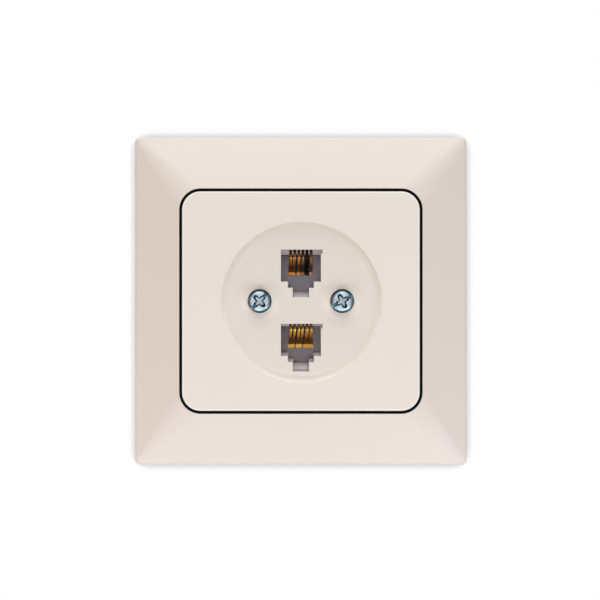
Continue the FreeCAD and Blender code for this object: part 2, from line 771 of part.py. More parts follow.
def corner_blocks(sketch):
    """A square in each corner of the tub, which the board rests on."""
    for side in ("-", ""):
        for end in ("-", ""):
            x = f"{side}({BASE_INNER_WIDTH} / 2 + base_wall / 4 - board_corner_block / 2)"
            y = f"{end}({BASE_INNER_HEIGHT} / 2 + base_wall / 4 - board_corner_block / 2)"
            width = "board_corner_block + base_wall / 2"
            rectangle(sketch, width, width, x, y)


def mechanism_base():
    body = new_body("mechanism_base")
    pad(body, "Flange", FLANGE_FRONT, STRAP_FRONT, lambda sketch: rounded(
        sketch, f"{BASE_WIDTH} + 2 * flange_overlap_side", f"{BASE_HEIGHT} + 2 * flange_overlap_end",
        "base_corner_radius"))
    pad(body, "Tub", STRAP_FRONT, BOARD_REAR, lambda sketch: rounded(
        sketch, BASE_WIDTH, BASE_HEIGHT, "base_corner_radius"))
    pocket(body, "Hollow", STRAP_FRONT, BOARD_REAR, lambda sketch: rectangle(
        sketch, BASE_INNER_WIDTH, BASE_INNER_HEIGHT))
    pad(body, "Towers", TOWER_FRONT, "tower_reach", at_cover_screws("tower_diameter"))
    pad(body, "BoardPosts", STRAP_FRONT, BOARD_FRONT, at_board_screws("board_screw_post"))
    pad(body, "CornerBlocks", STRAP_FRONT, BOARD_FRONT, corner_blocks)
    pocket(body, "JackWindows", FLANGE_FRONT, STRAP_FRONT,
           at_jacks("jack_width + 2 * base_fit", f"{JACK_HEIGHT} + 2 * base_fit"))
    pocket(body, "BushSeats", TOWER_FRONT, f"({TOWER_FRONT}) + bush_length", at_cover_screws("bush_diameter"))
    pocket(body, "ScrewRoom", f"({TOWER_FRONT}) + bush_length", "tower_reach",
           at_cover_screws("screw_diameter + 2 * screw_hole_clearance"))
    bore_end = f"({BOARD_REAR}) - board_screw_length - board_screw_diameter"
    pocket(body, "BoardScrewBores", bore_end, BOARD_FRONT,
           at_board_screws("board_screw_diameter + 2 * thread_clearance"))
    pocket(body, "RivetHoles", FLANGE_FRONT, STRAP_FRONT, at_rivets("rivet_diameter + 2 * thread_clearance"))
    return body


# Modular jack: its own origin is on its front face, at the middle of the cavity's top

def jack_cavity(sketch):
    """The stepped cavity that takes a plug with its latch down."""
    step = "-cavity_height"
    latch = "-(cavity_height + cavity_step_height)"
    foot = f"-({CAVITY_BOTTOM})"
    polygon(sketch, [
        ("-cavity_width / 2", "0"),
        ("-cavity_width / 2", step),
        ("-cavity_step_width / 2", step),
        ("-cavity_step_width / 2", latch),
        ("-cavity_latch_width / 2", latch),
        ("-cavity_latch_width / 2", foot),
        ("cavity_latch_width / 2", foot),
        ("cavity_latch_width / 2", latch),
        ("cavity_step_width / 2", latch),
        ("cavity_step_width / 2", step),
        ("cavity_width / 2", step),
        ("cavity_width / 2", "0"),
    ])


def jack_housing(row, top):
    body = new_body(f"{row}_jack_housing")
    first = "-(contact_count - 1) / 2 * contact_pitch"
    row_length = "(contact_count - 1) * contact_pitch"
    pad(body, "Shell", "0", "jack_depth", lambda sketch: rectangle(
        sketch, "jack_width", JACK_HEIGHT, "0", JACK_MIDDLE))
    pocket(body, "Cavity", "0", "cavity_depth", jack_cavity)
    pocket(body, "CarrierSlot", "carrier_front - carrier_fit", "jack_depth", lambda sketch: rectangle(
        sketch, "carrier_width + 2 * carrier_fit", "carrier_height + 2 * carrier_fit",
        "0", "carrier_lift + carrier_height / 2"))
    comb_height = "(contact_rise + contact_thickness)"
    comb = pocket(body, "CombSlot", "0", "comb_depth", lambda sketch: rectangle(
        sketch, "contact_width + 2 * comb_slot_clearance", comb_height, first, f"{comb_height} / 2"))
    repeat(body, "Comb", [comb], "X_Axis", row_length, "contact_count")
    foot = f"-({CAVITY_BOTTOM})"
    side_pad(body, "LatchRamp", "YZ_Plane", "-cavity_latch_width / 2", "cavity_latch_width / 2",
             lambda sketch: polygon(sketch, [
                 ("ramp_start", foot),
                 ("ramp_start + ramp_length", foot),
                 ("ramp_start + ramp_length", f"{foot} + ramp_height"),
             ]))
    place(body, y=JACK_FRONT, z=top)
    return body


def contact_carrier(row, top):
    body = new_body(f"{row}_contact_carrier")
    first = "-(contact_count - 1) / 2 * contact_pitch"
    row_length = "(contact_count - 1) * contact_pitch"
    pad(body, "Bar", "carrier_front", "jack_depth", lambda sketch: rectangle(
        sketch, "carrier_width", "carrier_height", "0", "carrier_lift + carrier_height / 2"))
    groove_top = "(contact_rise + contact_thickness / 2 + comb_slot_clearance)"
    groove = pocket(body, "Groove", "carrier_front", "jack_depth", lambda sketch: rectangle(
        sketch, "contact_width + 2 * comb_slot_clearance", f"{groove_top} - carrier_lift",
        first, f"({groove_top} + carrier_lift) / 2"))
    repeat(body, "Grooves", [groove], "X_Axis", row_length, "contact_count")
    place(body, y=JACK_FRONT, z=top)
    return body


def contact_spring(row, top, number):
    """A strip that comes forward over the cavity, turns down at the comb and slopes back to a bent tip."""
    body = new_body(f"{row}_contact_{number + 1}")
    tail = "jack_depth + board_thickness"
    path = new_sketch(body, "Path", "YZ_Plane", "0")
    rounded_path(path, [
        (tail, "contact_rise"),
        ("contact_setback", "contact_rise"),
        ("contact_setback", "-contact_dip"),
        ("contact_reach", "-contact_fall"),
        ("contact_reach + contact_tip_run", "-(contact_fall + contact_tip_fall)"),
    ], "contact_bend_radius")
    section = new_sketch(body, "Section", "XZ_Plane", f"-({tail})")
    rectangle(section, "contact_width", "contact_thickness", "0", "contact_rise")
    feature = body.newObject("PartDesign::AdditivePipe", f"{body.Name}_Strip")
    feature.Profile = section
    feature.Spine = path
    finish(body, feature)
    place(body, x=f"({number} - (contact_count - 1) / 2) * contact_pitch", y=JACK_FRONT, z=top)
    return body


# Circuit board and its screws

def pin_holes(sketch):
    """A square hole for each contact's tail and for each terminal's pin."""
    side = "contact_width + 2 * pin_hole_clearance"
    for top in JACK_TOPS.values():
        for number in range(int(value("contact_count"))):
            x = f"({number} - (contact_count - 1) / 2) * contact_pitch"
            rectangle(sketch, side, side, x, f"{top} + contact_rise")
    side = "cage_pin + 2 * pin_hole_clearance"
    for end in ("-", ""):
        for number in range(int(value("contact_count"))):
            x = f"({number} - (contact_count - 1) / 2) * terminal_pitch"
            rectangle(sketch, side, side, x, f"{end}{TERMINAL_PLACE}")


def circuit_board():
    body = new_body("circuit_board")
    pad(body, "Sheet", BOARD_FRONT, BOARD_REAR, lambda sketch: rectangle(sketch, BOARD_WIDTH, BOARD_HEIGHT))
    pocket(body, "PinHoles", BOARD_FRONT, BOARD_REAR, pin_holes)
    pocket(body, "ScrewHoles", BOARD_FRONT, BOARD_REAR,
           at_board_screws("board_screw_diameter + 2 * screw_hole_clearance"))
    return body


def board_screws():
    body = new_body("board_screws")
    head_rear = f"({BOARD_REAR}) + board_screw_head_height"
    shank_end = f"({BOARD_REAR}) - board_screw_length"
    pad(body, "Shanks", shank_end, BOARD_REAR, at_board_screws("board_screw_diameter"))
    pad(body, "Heads", BOARD_REAR, head_rear, at_board_screws("board_screw_head_diameter"))
    face = value(head_rear)
    round_edges(body, "HeadRound", "PartDesign::Fillet", "board_screw_head_height / 2",
                lambda box: lies_at(face, box.YMin, box.YMax))

    def crosses(sketch):
        reach, half = "board_screw_head_diameter / 4", "terminal_screw_slot / 2"
        polygon(sketch, cross_corners(reach, half, "-board_screw_side", "board_screw_height"))
        polygon(sketch, cross_corners(reach, half, "board_screw_side", "-board_screw_height"))
    pocket(body, "Crosses", f"({BOARD_REAR}) + board_screw_head_height / 3", head_rear, crosses)
    return body


def cross_corners(reach, half, x, y):
    """The corners of a plain cross about a centre, from its reach and half the width of its arms."""
    quarter = [(reach, half), (half, half), (half, reach)]
    corners = []
    for turn in range(4):
        for along, across in quarter:
            a, b = f"({along})", f"({across})"
            dx, dy = [(a, b), (f"-{b}", a), (f"-{a}", f"-{b}"), (b, f"-{a}")][turn]
            corners.append((f"({x}) + {dx}", f"({y}) + {dy}"))
    return corners


# Screw terminals: a block behind the board with its wire entries away from the middle

def block_side(sketch):
    """The terminal block's side view, as (y, z) from the middle of its seat."""
    half = "terminal_block_height / 2"
    polygon(sketch, [
        ("0", f"-({half})"),
        ("terminal_block_depth", f"-({half})"),
        ("terminal_block_depth", f"{half} - terminal_chamfer"),
        ("terminal_block_depth - terminal_chamfer", half),
        ("0", half),
    ])


CAGE_PLACE = "(terminal_block_height / 2 - cage_height / 2)"


def terminal_block(row, z, turn):
    body = new_body(f"{row}_terminal_block")
    side_pad(body, "Block", "YZ_Plane", f"-{TERMINAL_LENGTH} / 2", f"{TERMINAL_LENGTH} / 2", block_side)
    first = "-(contact_count - 1) / 2 * terminal_pitch"
    row_length = "(contact_count - 1) * terminal_pitch"
    entry = pocket(body, "CageRoom", CAGE_FRONT, f"{CAGE_REAR} + cage_fit", lambda sketch: rectangle(
        sketch, "cage_width + 2 * cage_fit", "cage_height + cage_fit", first,
        f"{CAGE_PLACE} - cage_fit / 2"))
    repeat(body, "CageRooms", [entry], "X_Axis", row_length, "contact_count")
    well = pocket(body, "Well", CAGE_REAR, "terminal_block_depth", lambda sketch: circle(
        sketch, "terminal_well_diameter", first, CAGE_PLACE))
    repeat(body, "Wells", [well], "X_Axis", row_length, "contact_count")
    pin = pocket(body, "PinHole", "0", CAGE_FRONT, lambda sketch: rectangle(
        sketch, "cage_pin + 2 * pin_hole_clearance", "cage_pin + 2 * pin_hole_clearance", first, "0"))
    repeat(body, "PinHoles", [pin], "X_Axis", row_length, "contact_count")
    place(body, y=BOARD_REAR, z=z, turn=turn)
    return body


def terminal_cage(row, z, turn, number):
    """A square brass cage with a wire passage, a tapped hole and a pin to the board."""
    body = new_body(f"{row}_terminal_cage_{number + 1}")
    side = f"({number} - (contact_count - 1) / 2) * terminal_pitch"
    pad(body, "Cage", CAGE_FRONT, CAGE_REAR, lambda sketch: rectangle(
        sketch, "cage_width", "cage_height", "0", CAGE_PLACE))
    tapped_wall = f"{CAGE_REAR} - 2 * cage_wall"
    pocket(body, "Passage", f"{CAGE_FRONT} + cage_wall", tapped_wall, lambda sketch: rectangle(
        sketch, "cage_width - 2 * cage_wall", "cage_height", "0", CAGE_PLACE))
    pocket(body, "Tapping", tapped_wall, CAGE_REAR, lambda sketch: circle(
        sketch, "terminal_screw_diameter + 2 * thread_clearance", "0", CAGE_PLACE))
    pad(body, "Pin", "-board_thickness", CAGE_FRONT, lambda sketch: rectangle(
        sketch, "cage_pin", "cage_pin"))
    turned = "" if turn == "0" else "-"
    place(body, x=f"{turned}({side})", y=BOARD_REAR, z=z, turn=turn)
    return body


def terminal_screws(row, z, turn):
    body = new_body(f"{row}_terminal_screws")
    first = "-(contact_count - 1) / 2 * terminal_pitch"
    row_length = "(contact_count - 1) * terminal_pitch"
    seat = f"({CAGE_REAR}) + cage_wall / 2"
    head_rear = f"({seat}) + terminal_screw_head_height"
    pad(body, "Shank", f"({seat}) - terminal_screw_length", seat, lambda sketch: circle(
        sketch, "terminal_screw_diameter", first, CAGE_PLACE))
    pad(body, "Head", seat, head_rear, lambda sketch: circle(
        sketch, "terminal_screw_head_diameter", first, CAGE_PLACE))
    pocket(body, "Slot", f"({seat}) + terminal_screw_head_height / 2", head_rear, lambda sketch: rectangle(
        sketch, "terminal_screw_head_diameter", "terminal_screw_slot", first, CAGE_PLACE))
    features = [doc.getObject(f"{body.Name}_{name}") for name in ("Shank", "Head", "Slot")]
    repeat(body, "Row", features, "X_Axis", row_length, "contact_count")
    place(body, y=BOARD_REAR, z=z, turn=turn)
    return body


# The whole socket

def build():
    outer_frame()
    centre_plate()
    cover_screw("cover_screw_left", "-screw_spacing / 2", "-left_slot_turn")
    cover_screw("cover_screw_right", "screw_spacing / 2", "-right_slot_turn")
    cover_screw_bushes()
    mounting_strap()
    strap_rivets()
    mechanism_base()
    circuit_board()
    board_screws()
    for row, top in JACK_TOPS.items():
        jack_housing(row, top)
        contact_carrier(row, top)
        for number in range(int(value("contact_count"))):
            contact_spring(row, top, number)
    for row, z, turn in (("upper", TERMINAL_PLACE, "0"), ("lower", f"-{TERMINAL_PLACE}", "180")):
        terminal_block(row, z, turn)
        for number in range(int(value("contact_count"))):
            terminal_cage(row, z, turn, number)
        terminal_screws(row, z, turn)


def check_and_write():
    """Stops at any failed object or unsound shape, then writes one STEP file for each sub-part."""
    doc.recompute()
    for item in doc.Objects:
        if "Invalid" in item.State or "Error" in item.State:
            raise RuntimeError(f"{item.Name} is {item.State}")
    for body in SUB_PARTS:
        shape = body.Shape
        if shape.isNull() or not shape.isValid() or shape.Volume <= 0:
            raise RuntimeError(f"{body.Label} has no sound shape")
    os.makedirs("parts", exist_ok=True)
    for body in SUB_PARTS:
        body.Shape.exportStep(f"parts/{body.Label}.step")
        print(body.Label, len(body.Shape.Solids), round(body.Shape.Volume, 2))


build()
check_and_write()
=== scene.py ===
"""Looks of a flush telephone wall socket with two modular jacks, dressed over its CAD frame.

+X is to the right, +Z is up and +Y points into the wall, so the front faces -Y. Lengths are in metres.
"""

import logging
import math
from dataclasses import dataclass, replace
from enum import Enum
from functools import partial, reduce
from typing import Callable, Iterable, Sequence

import bmesh
import bpy
from mathutils import Matrix, Vector


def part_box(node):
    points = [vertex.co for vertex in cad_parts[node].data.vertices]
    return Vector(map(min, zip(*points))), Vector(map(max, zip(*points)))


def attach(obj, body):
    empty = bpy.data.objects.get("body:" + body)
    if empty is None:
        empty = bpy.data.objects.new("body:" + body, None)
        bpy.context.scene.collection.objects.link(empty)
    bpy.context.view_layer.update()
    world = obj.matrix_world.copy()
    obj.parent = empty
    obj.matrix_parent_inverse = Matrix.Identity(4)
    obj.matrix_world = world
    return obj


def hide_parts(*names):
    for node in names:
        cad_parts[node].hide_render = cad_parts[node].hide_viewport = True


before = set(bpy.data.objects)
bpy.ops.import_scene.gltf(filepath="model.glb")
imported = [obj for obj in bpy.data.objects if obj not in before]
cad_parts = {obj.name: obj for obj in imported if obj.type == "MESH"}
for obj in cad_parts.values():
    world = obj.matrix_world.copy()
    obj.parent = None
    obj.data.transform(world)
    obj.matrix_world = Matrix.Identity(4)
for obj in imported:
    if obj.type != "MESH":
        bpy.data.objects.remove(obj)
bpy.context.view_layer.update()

log = logging.getLogger("socket")

MM = 0.001
BODY = "root"

# The numbers of a jack's contacts and of a terminal block's cages
NUMBERS = range(1, 7)

# How close two corners lie that are one
NEARBY = 0.001 * MM

Colour = tuple[float, float, float]
Socket = bpy.types.NodeSocket
Paint = Socket | Colour
Skin = tuple[Socket, Socket]
Layers = tuple[Paint, Socket, Socket]


def srgb(red: int, green: int, blue: int) -> Colour:
    """Turns a colour as seen on a screen into the linear values of a shader.

    Args:
        red: Red, from 0 to 255.
        green: Green, from 0 to 255.
        blue: Blue, from 0 to 255.

    Returns:
        The three linear values.
    """

    def linear(level: int) -> float:
        """One level's linear value."""
        share = level / 255
        return share / 12.92 if share <= 0.04045 else ((share + 0.055) / 1.055) ** 2.4

    return linear(red), linear(green), linear(blue)


def scaled(colour: Colour, factor: float) -> Colour:
    """A lighter or darker colour of the same hue.

    Args:
        colour: The colour.
        factor: How bright the new one is against it.

    Returns:
        The new colour.
    """
    return tuple(factor * level for level in colour)


# Finishes


class Pattern(Enum):
    """What a surface's fine structure comes from."""

    MOULDED = "moulded"
    ROLLED = "rolled"
    SPANGLED = "spangled"
    PLATED = "plated"
    LAMINATED = "laminated"


@dataclass(frozen=True)
class Finish:
    """How one material looks.

    Attributes:
        name: The material's name.
        slot: The record's material slot that it stands for; it is not used.
        colour: Its linear colour.
        roughness: Its mean roughness.
        pattern: What its fine structure comes from.
        metallic: 1 for a metal, 0 for anything else.
        mottle: The share by which its colour wanders.
        mottle_size: How wide a patch of that is.
        grain: The height of its fine structure.
        grain_size: How wide a grain is.
        coat: The weight of a clear coat.
        mask: Changes the colour and the roughness of a part of the surface.
    """

    name: str
    slot: str
    colour: Colour
    roughness: float
    pattern: Pattern = Pattern.MOULDED
    metallic: float = 0.0
    mottle: float = 0.02
    mottle_size: float = 14 * MM
    grain: float = 0.004 * MM
    grain_size: float = 0.16 * MM
    coat: float = 0.0
    mask: "Callable[[Graph, Socket, Socket], Skin] | None" = None


@dataclass(frozen=True)
class RoundedBox:
    """A rectangle about the Y axis with round corners.

    Attributes:
        width: Its width.
        height: Its height.
        radius: Its corners' radius.
    """

    width: float
    height: float
    radius: float


class Graph:
    """Adds and links the nodes of a material or of the world.

    Args:
        owner: The material or the world.
    """

    def __init__(self, owner: bpy.types.ID) -> None:
        """Starts with an empty node tree."""
        owner.use_nodes = True
        self.owner = owner
        self.tree = owner.node_tree
        self.tree.nodes.clear()

    def close(self, surface: bpy.types.Node) -> bpy.types.ID:
        """Links the last shader to the output.

        Args:
            surface: The shader.

        Returns:
            The material or the world.
        """
        kind = "World" if isinstance(self.owner, bpy.types.World) else "Material"
        self.add(f"ShaderNodeOutput{kind}", Surface=surface.outputs[0])
        return self.owner

    def add(self, kind: str, settings: dict[str, object] | None = None,
            **inputs: Socket | tuple[float, ...] | float) -> bpy.types.Node:
        """Adds a node.

        Args:
            kind: The node's type.
            settings: Its properties.
            **inputs: Its sockets by their names, with underscores for spaces, or by an underscore and their
                number. Each is given a number, a colour or another node's output.

        Returns:
            The node.
        """
        node = self.tree.nodes.new(kind)
        for key, setting in (settings or {}).items():
            setattr(node, key, setting)
        for key, given in inputs.items():
            socket = node.inputs[int(key[1:])] if key[0] == "_" else node.inputs[key.replace("_", " ")]
            if isinstance(given, Socket):
                self.tree.links.new(given, socket)
            else:
                socket.default_value = given
        return node

    def place(self, centre: Sequence[float] = (0, 0, 0), stretch: Sequence[float] = (1, 1, 1)) -> Socket:
        """Object coordinates about a centre, squeezed along the axes.

        Args:
            centre: The point that becomes the origin.
            stretch: The factor along each axis.

        Returns:
            The coordinates.
        """
        coordinates = self.add("ShaderNodeTexCoord").outputs["Object"]
        moved = self.add("ShaderNodeVectorMath", {"operation": "SUBTRACT"}, _0=coordinates, _1=tuple(centre))
        return self.add("ShaderNodeVectorMath", {"operation": "MULTIPLY"}, _0=moved.outputs[0],
                        _1=tuple(stretch)).outputs[0]

    def noise(self, size: float, detail: float = 2.0, place: Socket | None = None) -> Socket:
        """A noise from 0 to 1.

        Args:
            size: How wide one of its patches is.
            detail: How many finer layers it has.
            place: Its coordinates, or Object coordinates.

        Returns:
            The noise.
        """
        return self.add("ShaderNodeTexNoise", Scale=1 / size, Detail=detail,
                        Vector=place or self.place()).outputs["Fac"]

    def span(self, given: Socket, low: float, high: float, start: float = 0.0, end: float = 1.0) -> Socket:
        """Maps a value from one range into another.

        Args:
            given: The value.
            low: What start becomes.
            high: What end becomes.
            start: The given range's start.
            end: The given range's end.

        Returns:
            The mapped value.
        """
        return self.add("ShaderNodeMapRange", Value=given, From_Min=start, From_Max=end, To_Min=low,
                        To_Max=high).outputs["Result"]

    def math(self, operation: str, first: Socket | float, second: Socket | float = 0.0) -> Socket:
        """A sum or another operation on two values.

        Args:
            operation: The operation's name.
            first: A number or an output.
            second: A number or an output.

        Returns:
            The result.
        """
        return self.add("ShaderNodeMath", {"operation": operation}, _0=first, _1=second).outputs[0]

    def product(self, *factors: Socket | float) -> Socket:
        """Multiplies values.

        Args:
            *factors: Numbers or outputs.

        Returns:
            Their product.
        """
        return reduce(partial(self.math, "MULTIPLY"), factors)

    def length(self, first: Socket, second: Socket) -> Socket:
        """The length of a vector with two parts.

        Args:
            first: One part.
            second: The other part.

        Returns:
            The length.
        """
        return self.math("SQRT", self.math("ADD", self.product(first, first), self.product(second, second)))

    def band(self, given: Socket, rise: Sequence[float], fall: Sequence[float]) -> Socket:
        """Picks out a band of values with soft ends.

        Args:
            given: The value.
            rise: Where the share starts to rise from 0, and where it reaches 1.
            fall: Where it starts to fall, and where it is 0 again.

        Returns:
            The share.
        """
        return self.product(self.span(given, 0.0, 1.0, *rise), self.span(given, 1.0, 0.0, *fall))

    def grey(self, level: Socket) -> Socket:
        """A grey as bright as a value.

        Args:
            level: The value.

        Returns:
            The colour.
        """
        return self.add("ShaderNodeCombineColor", Red=level, Green=level, Blue=level).outputs[0]

    def tint(self, share: Socket, colour: Paint, factor: Colour) -> Socket:
        """Multiplies a colour in some places.

        Args:
            share: How much of the change each place gets.
            colour: The colour.
            factor: What it is multiplied by.

        Returns:
            The new colour.
        """
        return self.blend(share, colour, self.blend(1.0, colour, factor, "MULTIPLY"))

    def blend(self, share: Socket | float, first: Paint, second: Paint, mode: str = "MIX") -> Socket:
        """Mixes two colours.

        Args:
            share: The second colour's share.
            first: A colour or an output.
            second: A colour or an output.
            mode: How they mix.

        Returns:
            The mixed colour.
        """

        def full(given: Paint) -> Socket | tuple[float, ...]:
            """A colour with its alpha, or an output as it is."""
            return given if isinstance(given, Socket) else (*given, 1.0)

        return self.add("ShaderNodeMix", {"data_type": "RGBA", "blend_type": mode},
                        _0=share, _6=full(first), _7=full(second)).outputs[2]

    def axes(self, place: Socket | None = None) -> tuple[Socket, Socket, Socket]:
        """The three parts of a vector.

        Args:
            place: The vector, or Object coordinates.

        Returns:
            Its x, y and z.
        """
        return tuple(self.add("ShaderNodeSeparateXYZ", _0=place or self.place()).outputs)

    def beyond(self, box: RoundedBox) -> Socket:
        """How far a point lies outside a rounded rectangle about the Y axis.

        Args:
            box: The rectangle.

        Returns:
            The distance in metres, negative inside.
        """
        x, _, z = self.axes()
        across, along = (
            self.math("MAXIMUM", self.math("SUBTRACT", self.math("ABSOLUTE", part), side / 2 - box.radius))
            for part, side in ((x, box.width), (z, box.height)))
        return self.math("SUBTRACT", self.length(across, along), box.radius)

    def bump(self, height: Socket, depth: float, normal: Socket | None = None) -> Socket:
        """A relief.

        Args:
            height: Its height, from 0 to 1.
            depth: Its depth in metres.
            normal: A coarser relief under it.

        Returns:
            The normal.
        """
        under = {"Normal": normal} if normal else {}
        return self.add("ShaderNodeBump", Height=height, Distance=depth, Strength=1.0,
                        **under).outputs["Normal"]


# How wide the melt's flow lines, the stains on rolled metal, frost and rubbed spots are
FLOW_SIZE = 3 * MM
STAIN_SIZE = 2.5 * MM
FROST_SIZE = 0.3 * MM
RUB_SIZE = 0.9 * MM


class Painter:
    """Makes each finish's material once and gives it to pieces."""

    def __init__(self) -> None:
        """Starts with no material made."""
        self.made: dict[str, bpy.types.Material] = {}

    def paint(self, piece: bpy.types.Object, finish: Finish) -> None:
        """Gives a piece its finish.

        Args:
            piece: The piece.
            finish: The finish.
        """
        if finish.name not in self.made:
            self.made[finish.name] = self.material(finish)
        if piece.material_slots:
            for slot in piece.material_slots:
                slot.material = self.made[finish.name]
        else:
            piece.data.materials.append(self.made[finish.name])
        log.info("%s: %s", piece.name, finish.name)

    def material(self, finish: Finish) -> bpy.types.Material:
        """Builds a finish's nodes.

        Args:
            finish: The finish.

        Returns:
            The material.
        """
        graph = Graph(bpy.data.materials.new(finish.name))
        draw = {
            Pattern.MOULDED: self.moulded,
            Pattern.ROLLED: self.rolled,
            Pattern.SPANGLED: self.spangled,
            Pattern.PLATED: self.plated,
            Pattern.LAMINATED: self.laminated,
        }[finish.pattern]
        shade, roughness, normal = draw(graph, finish)
        wander = graph.span(graph.noise(finish.mottle_size, 3.0), 1 - finish.mottle, 1 + finish.mottle)
        colour = graph.blend(1.0, shade, graph.grey(wander), "MULTIPLY")
        if finish.mask:
            colour, roughness = finish.mask(graph, colour, roughness)
        return graph.close(graph.add(
            "ShaderNodeBsdfPrincipled", Base_Color=colour, Roughness=roughness, Normal=normal,
            Metallic=finish.metallic, Coat_Weight=finish.coat, Coat_Roughness=0.12))

    # Each pattern takes a material's graph and its finish, and returns a colour, a roughness and a normal.

    @staticmethod
    def moulded(graph: Graph, finish: Finish) -> Layers:
        """Plastic from a spark-eroded mould, with a faint flow of the melt."""
        fine = graph.noise(finish.grain_size, 3.0)
        flow = graph.noise(FLOW_SIZE, 2.0, graph.place(stretch=(1, 1, 0.35)))
        roughness = graph.span(flow, finish.roughness - 0.04, finish.roughness + 0.04, 0.3, 0.7)
        normal = graph.bump(fine, finish.grain, graph.bump(flow, finish.grain))
        return finish.colour, roughness, normal

    @staticmethod
    def rolled(graph: Graph, finish: Finish) -> Layers:
        """Metal with fine streaks along X from rolling or drawing."""
        streaks = graph.noise(finish.grain_size, 4.0, graph.place(stretch=(0.06, 1, 1)))
        stain = graph.span(graph.noise(STAIN_SIZE, 3.0), 0.0, 0.5, 0.45, 0.75)
        shade = graph.blend(stain, finish.colour, scaled(finish.colour, 0.72))
        roughness = graph.span(streaks, finish.roughness - 0.06, finish.roughness + 0.08)
        return shade, roughness, graph.bump(streaks, finish.grain)

    @staticmethod
    def spangled(graph: Graph, finish: Finish) -> Layers:
        """Hot-dip galvanised sheet with frosty crystals."""
        cells = graph.add("ShaderNodeTexVoronoi", Scale=1 / finish.grain_size, Vector=graph.place())
        level = graph.span(cells.outputs["Color"], 0.78, 1.06)
        shade = graph.blend(1.0, finish.colour, graph.grey(level), "MULTIPLY")
        frost = graph.noise(FROST_SIZE, 3.0)
        roughness = graph.span(cells.outputs["Color"], finish.roughness - 0.08, finish.roughness + 0.12)
        return shade, roughness, graph.bump(frost, finish.grain)

    @staticmethod
    def plated(graph: Graph, finish: Finish) -> Layers:
        """Plated metal with a faint orange peel and rubbed spots."""
        peel = graph.noise(finish.grain_size, 2.0)
        rub = graph.noise(RUB_SIZE, 4.0)
        shade = graph.blend(graph.span(rub, 0.0, 0.35, 0.5, 0.8), finish.colour, scaled(finish.colour, 0.6))
        roughness = graph.span(rub, finish.roughness - 0.05, finish.roughness + 0.1)
        return shade, roughness, graph.bump(peel, finish.grain)

    @staticmethod
    def laminated(graph: Graph, finish: Finish) -> Layers:
        """Glass laminate under a green mask, with its weave showing through."""
        warp, weft = (
            graph.add("ShaderNodeTexWave", {"bands_direction": axis}, Scale=1 / finish.grain_size,
                      Vector=graph.place()).outputs["Fac"]
            for axis in ("X", "Z"))
        weave = graph.product(warp, weft)
        shade = graph.blend(graph.span(weave, 0.0, 0.25), finish.colour, scaled(finish.colour, 1.3))
        roughness = graph.span(weave, finish.roughness, finish.roughness + 0.08)
        return shade, roughness, graph.bump(weave, finish.grain)


# Painted shade and light, with some wear and dirt, which follow the places of the solids' features

# SHADOW is painted shade: the near-black in the joint between the frame and the plate
SHADOW: Colour = (0.004, 0.004, 0.004)
JOINT_SHADE_ROUGHNESS = 0.6
WINDOW_RADIUS = 5.2 * MM
JOINT_GAP = 0.5 * MM
JOINT_SIDE = (0.10 * MM, 0.18 * MM)
JOINT_MOUTH = (-9.10 * MM, -8.96 * MM)
JOINT_FLOOR = (-4.95 * MM, -4.80 * MM)

# The frame's outer edge, by its distance from the rim, with painted shade along it: a faint pink tint and a
# darker line
RIM_RADIUS = 1.1 * MM
RIM_PINK_SHADE_REACH = (-1.6 * MM, -0.8 * MM)
RIM_PINK_SHADE: Colour = (1.0, 0.955, 0.955)
RIM_LINE = (-0.42 * MM, -0.12 * MM)
RIM_LINE_SHADE: Colour = (0.93, 0.90, 0.90)

# The plate's face and skirt, by their depth and by their distance from its outline
PLATE_FACE = (-9.19 * MM, -9.10 * MM)
PLATE_EDGE = (-0.58 * MM, -0.45 * MM)
PLATE_SIDE = (-0.20 * MM, -0.09 * MM)
# The colour of a painted highlight along the plate's face edge
PAINTED_EDGE_HIGHLIGHT = srgb(255, 252, 248)

# The dish's middle, how deep its floor lies, its rings by their radii, and their stretches by their height
DISH_CENTRE = (0.2 * MM, 0.0, -0.5 * MM)
DISH_DEPTH = (-7.9 * MM, -7.6 * MM)
DISH_FLOOR = (18.2 * MM, 19.85 * MM)
DISH_BROW = ((18.5 * MM, 19.3 * MM), (19.95 * MM, 20.25 * MM))
DISH_ROOT = ((17.2 * MM, 18.0 * MM), (18.6 * MM, 19.2 * MM))
DISH_FLANK = ((18.9 * MM, 19.2 * MM), (19.7 * MM, 20.1 * MM))
DISH_UPPER = (-4 * MM, 18 * MM)
DISH_SIDES = (8 * MM, 16 * MM)
DISH_LOWER_END = (-16 * MM, -8 * MM)
DISH_UPPER_END = (6 * MM, 16 * MM)
DISH_MATT: Colour = (0.925, 0.925, 0.913)
DISH_ROUGHNESS = 0.14
# Painted shade under the dish's upper rim
DISH_UPPER_SHADE: Colour = (0.81, 0.78, 0.73)
# Painted light along the dish's sides and at the root of its wall
DISH_PAINTED_LIGHT: Colour = (1.09, 1.09, 1.09)
# Painted light round the screws, which takes back their shadows on the dish floor
SCREW_LIFT_RING = (3.3 * MM, 5.3 * MM)
SCREW_LIFT_DROP = 0.2 * MM
SCREW_SHADOW_LIFT: Colour = (1.16, 1.16, 1.17)

# The heights between which the two rows of contacts and the two latch openings lie
CONTACT_ROWS = ((7.1 * MM, 13.0 * MM), (-11.4 * MM, -4.0 * MM))
LATCH_ROWS = ((4.0 * MM, 7.1 * MM), (-13.8 * MM, -11.4 * MM))
ROW_EDGE = 0.25 * MM

# The jack's face and opening, and the painted shadow behind its contacts
JACK_FACE = (-6.15 * MM, -5.6 * MM)
# Painted shade on the jack's front face
FACE_SHADE_GREY = srgb(120, 110, 104)
OPENING_SIDE = (2.9 * MM, 3.2 * MM)
CONTACT_SHADOW_DEPTH = (-4.6 * MM, -3.0 * MM)
CONTACT_SHADOW = srgb(30, 22, 18)
COOL: Colour = (0.90, 1.02, 1.04)

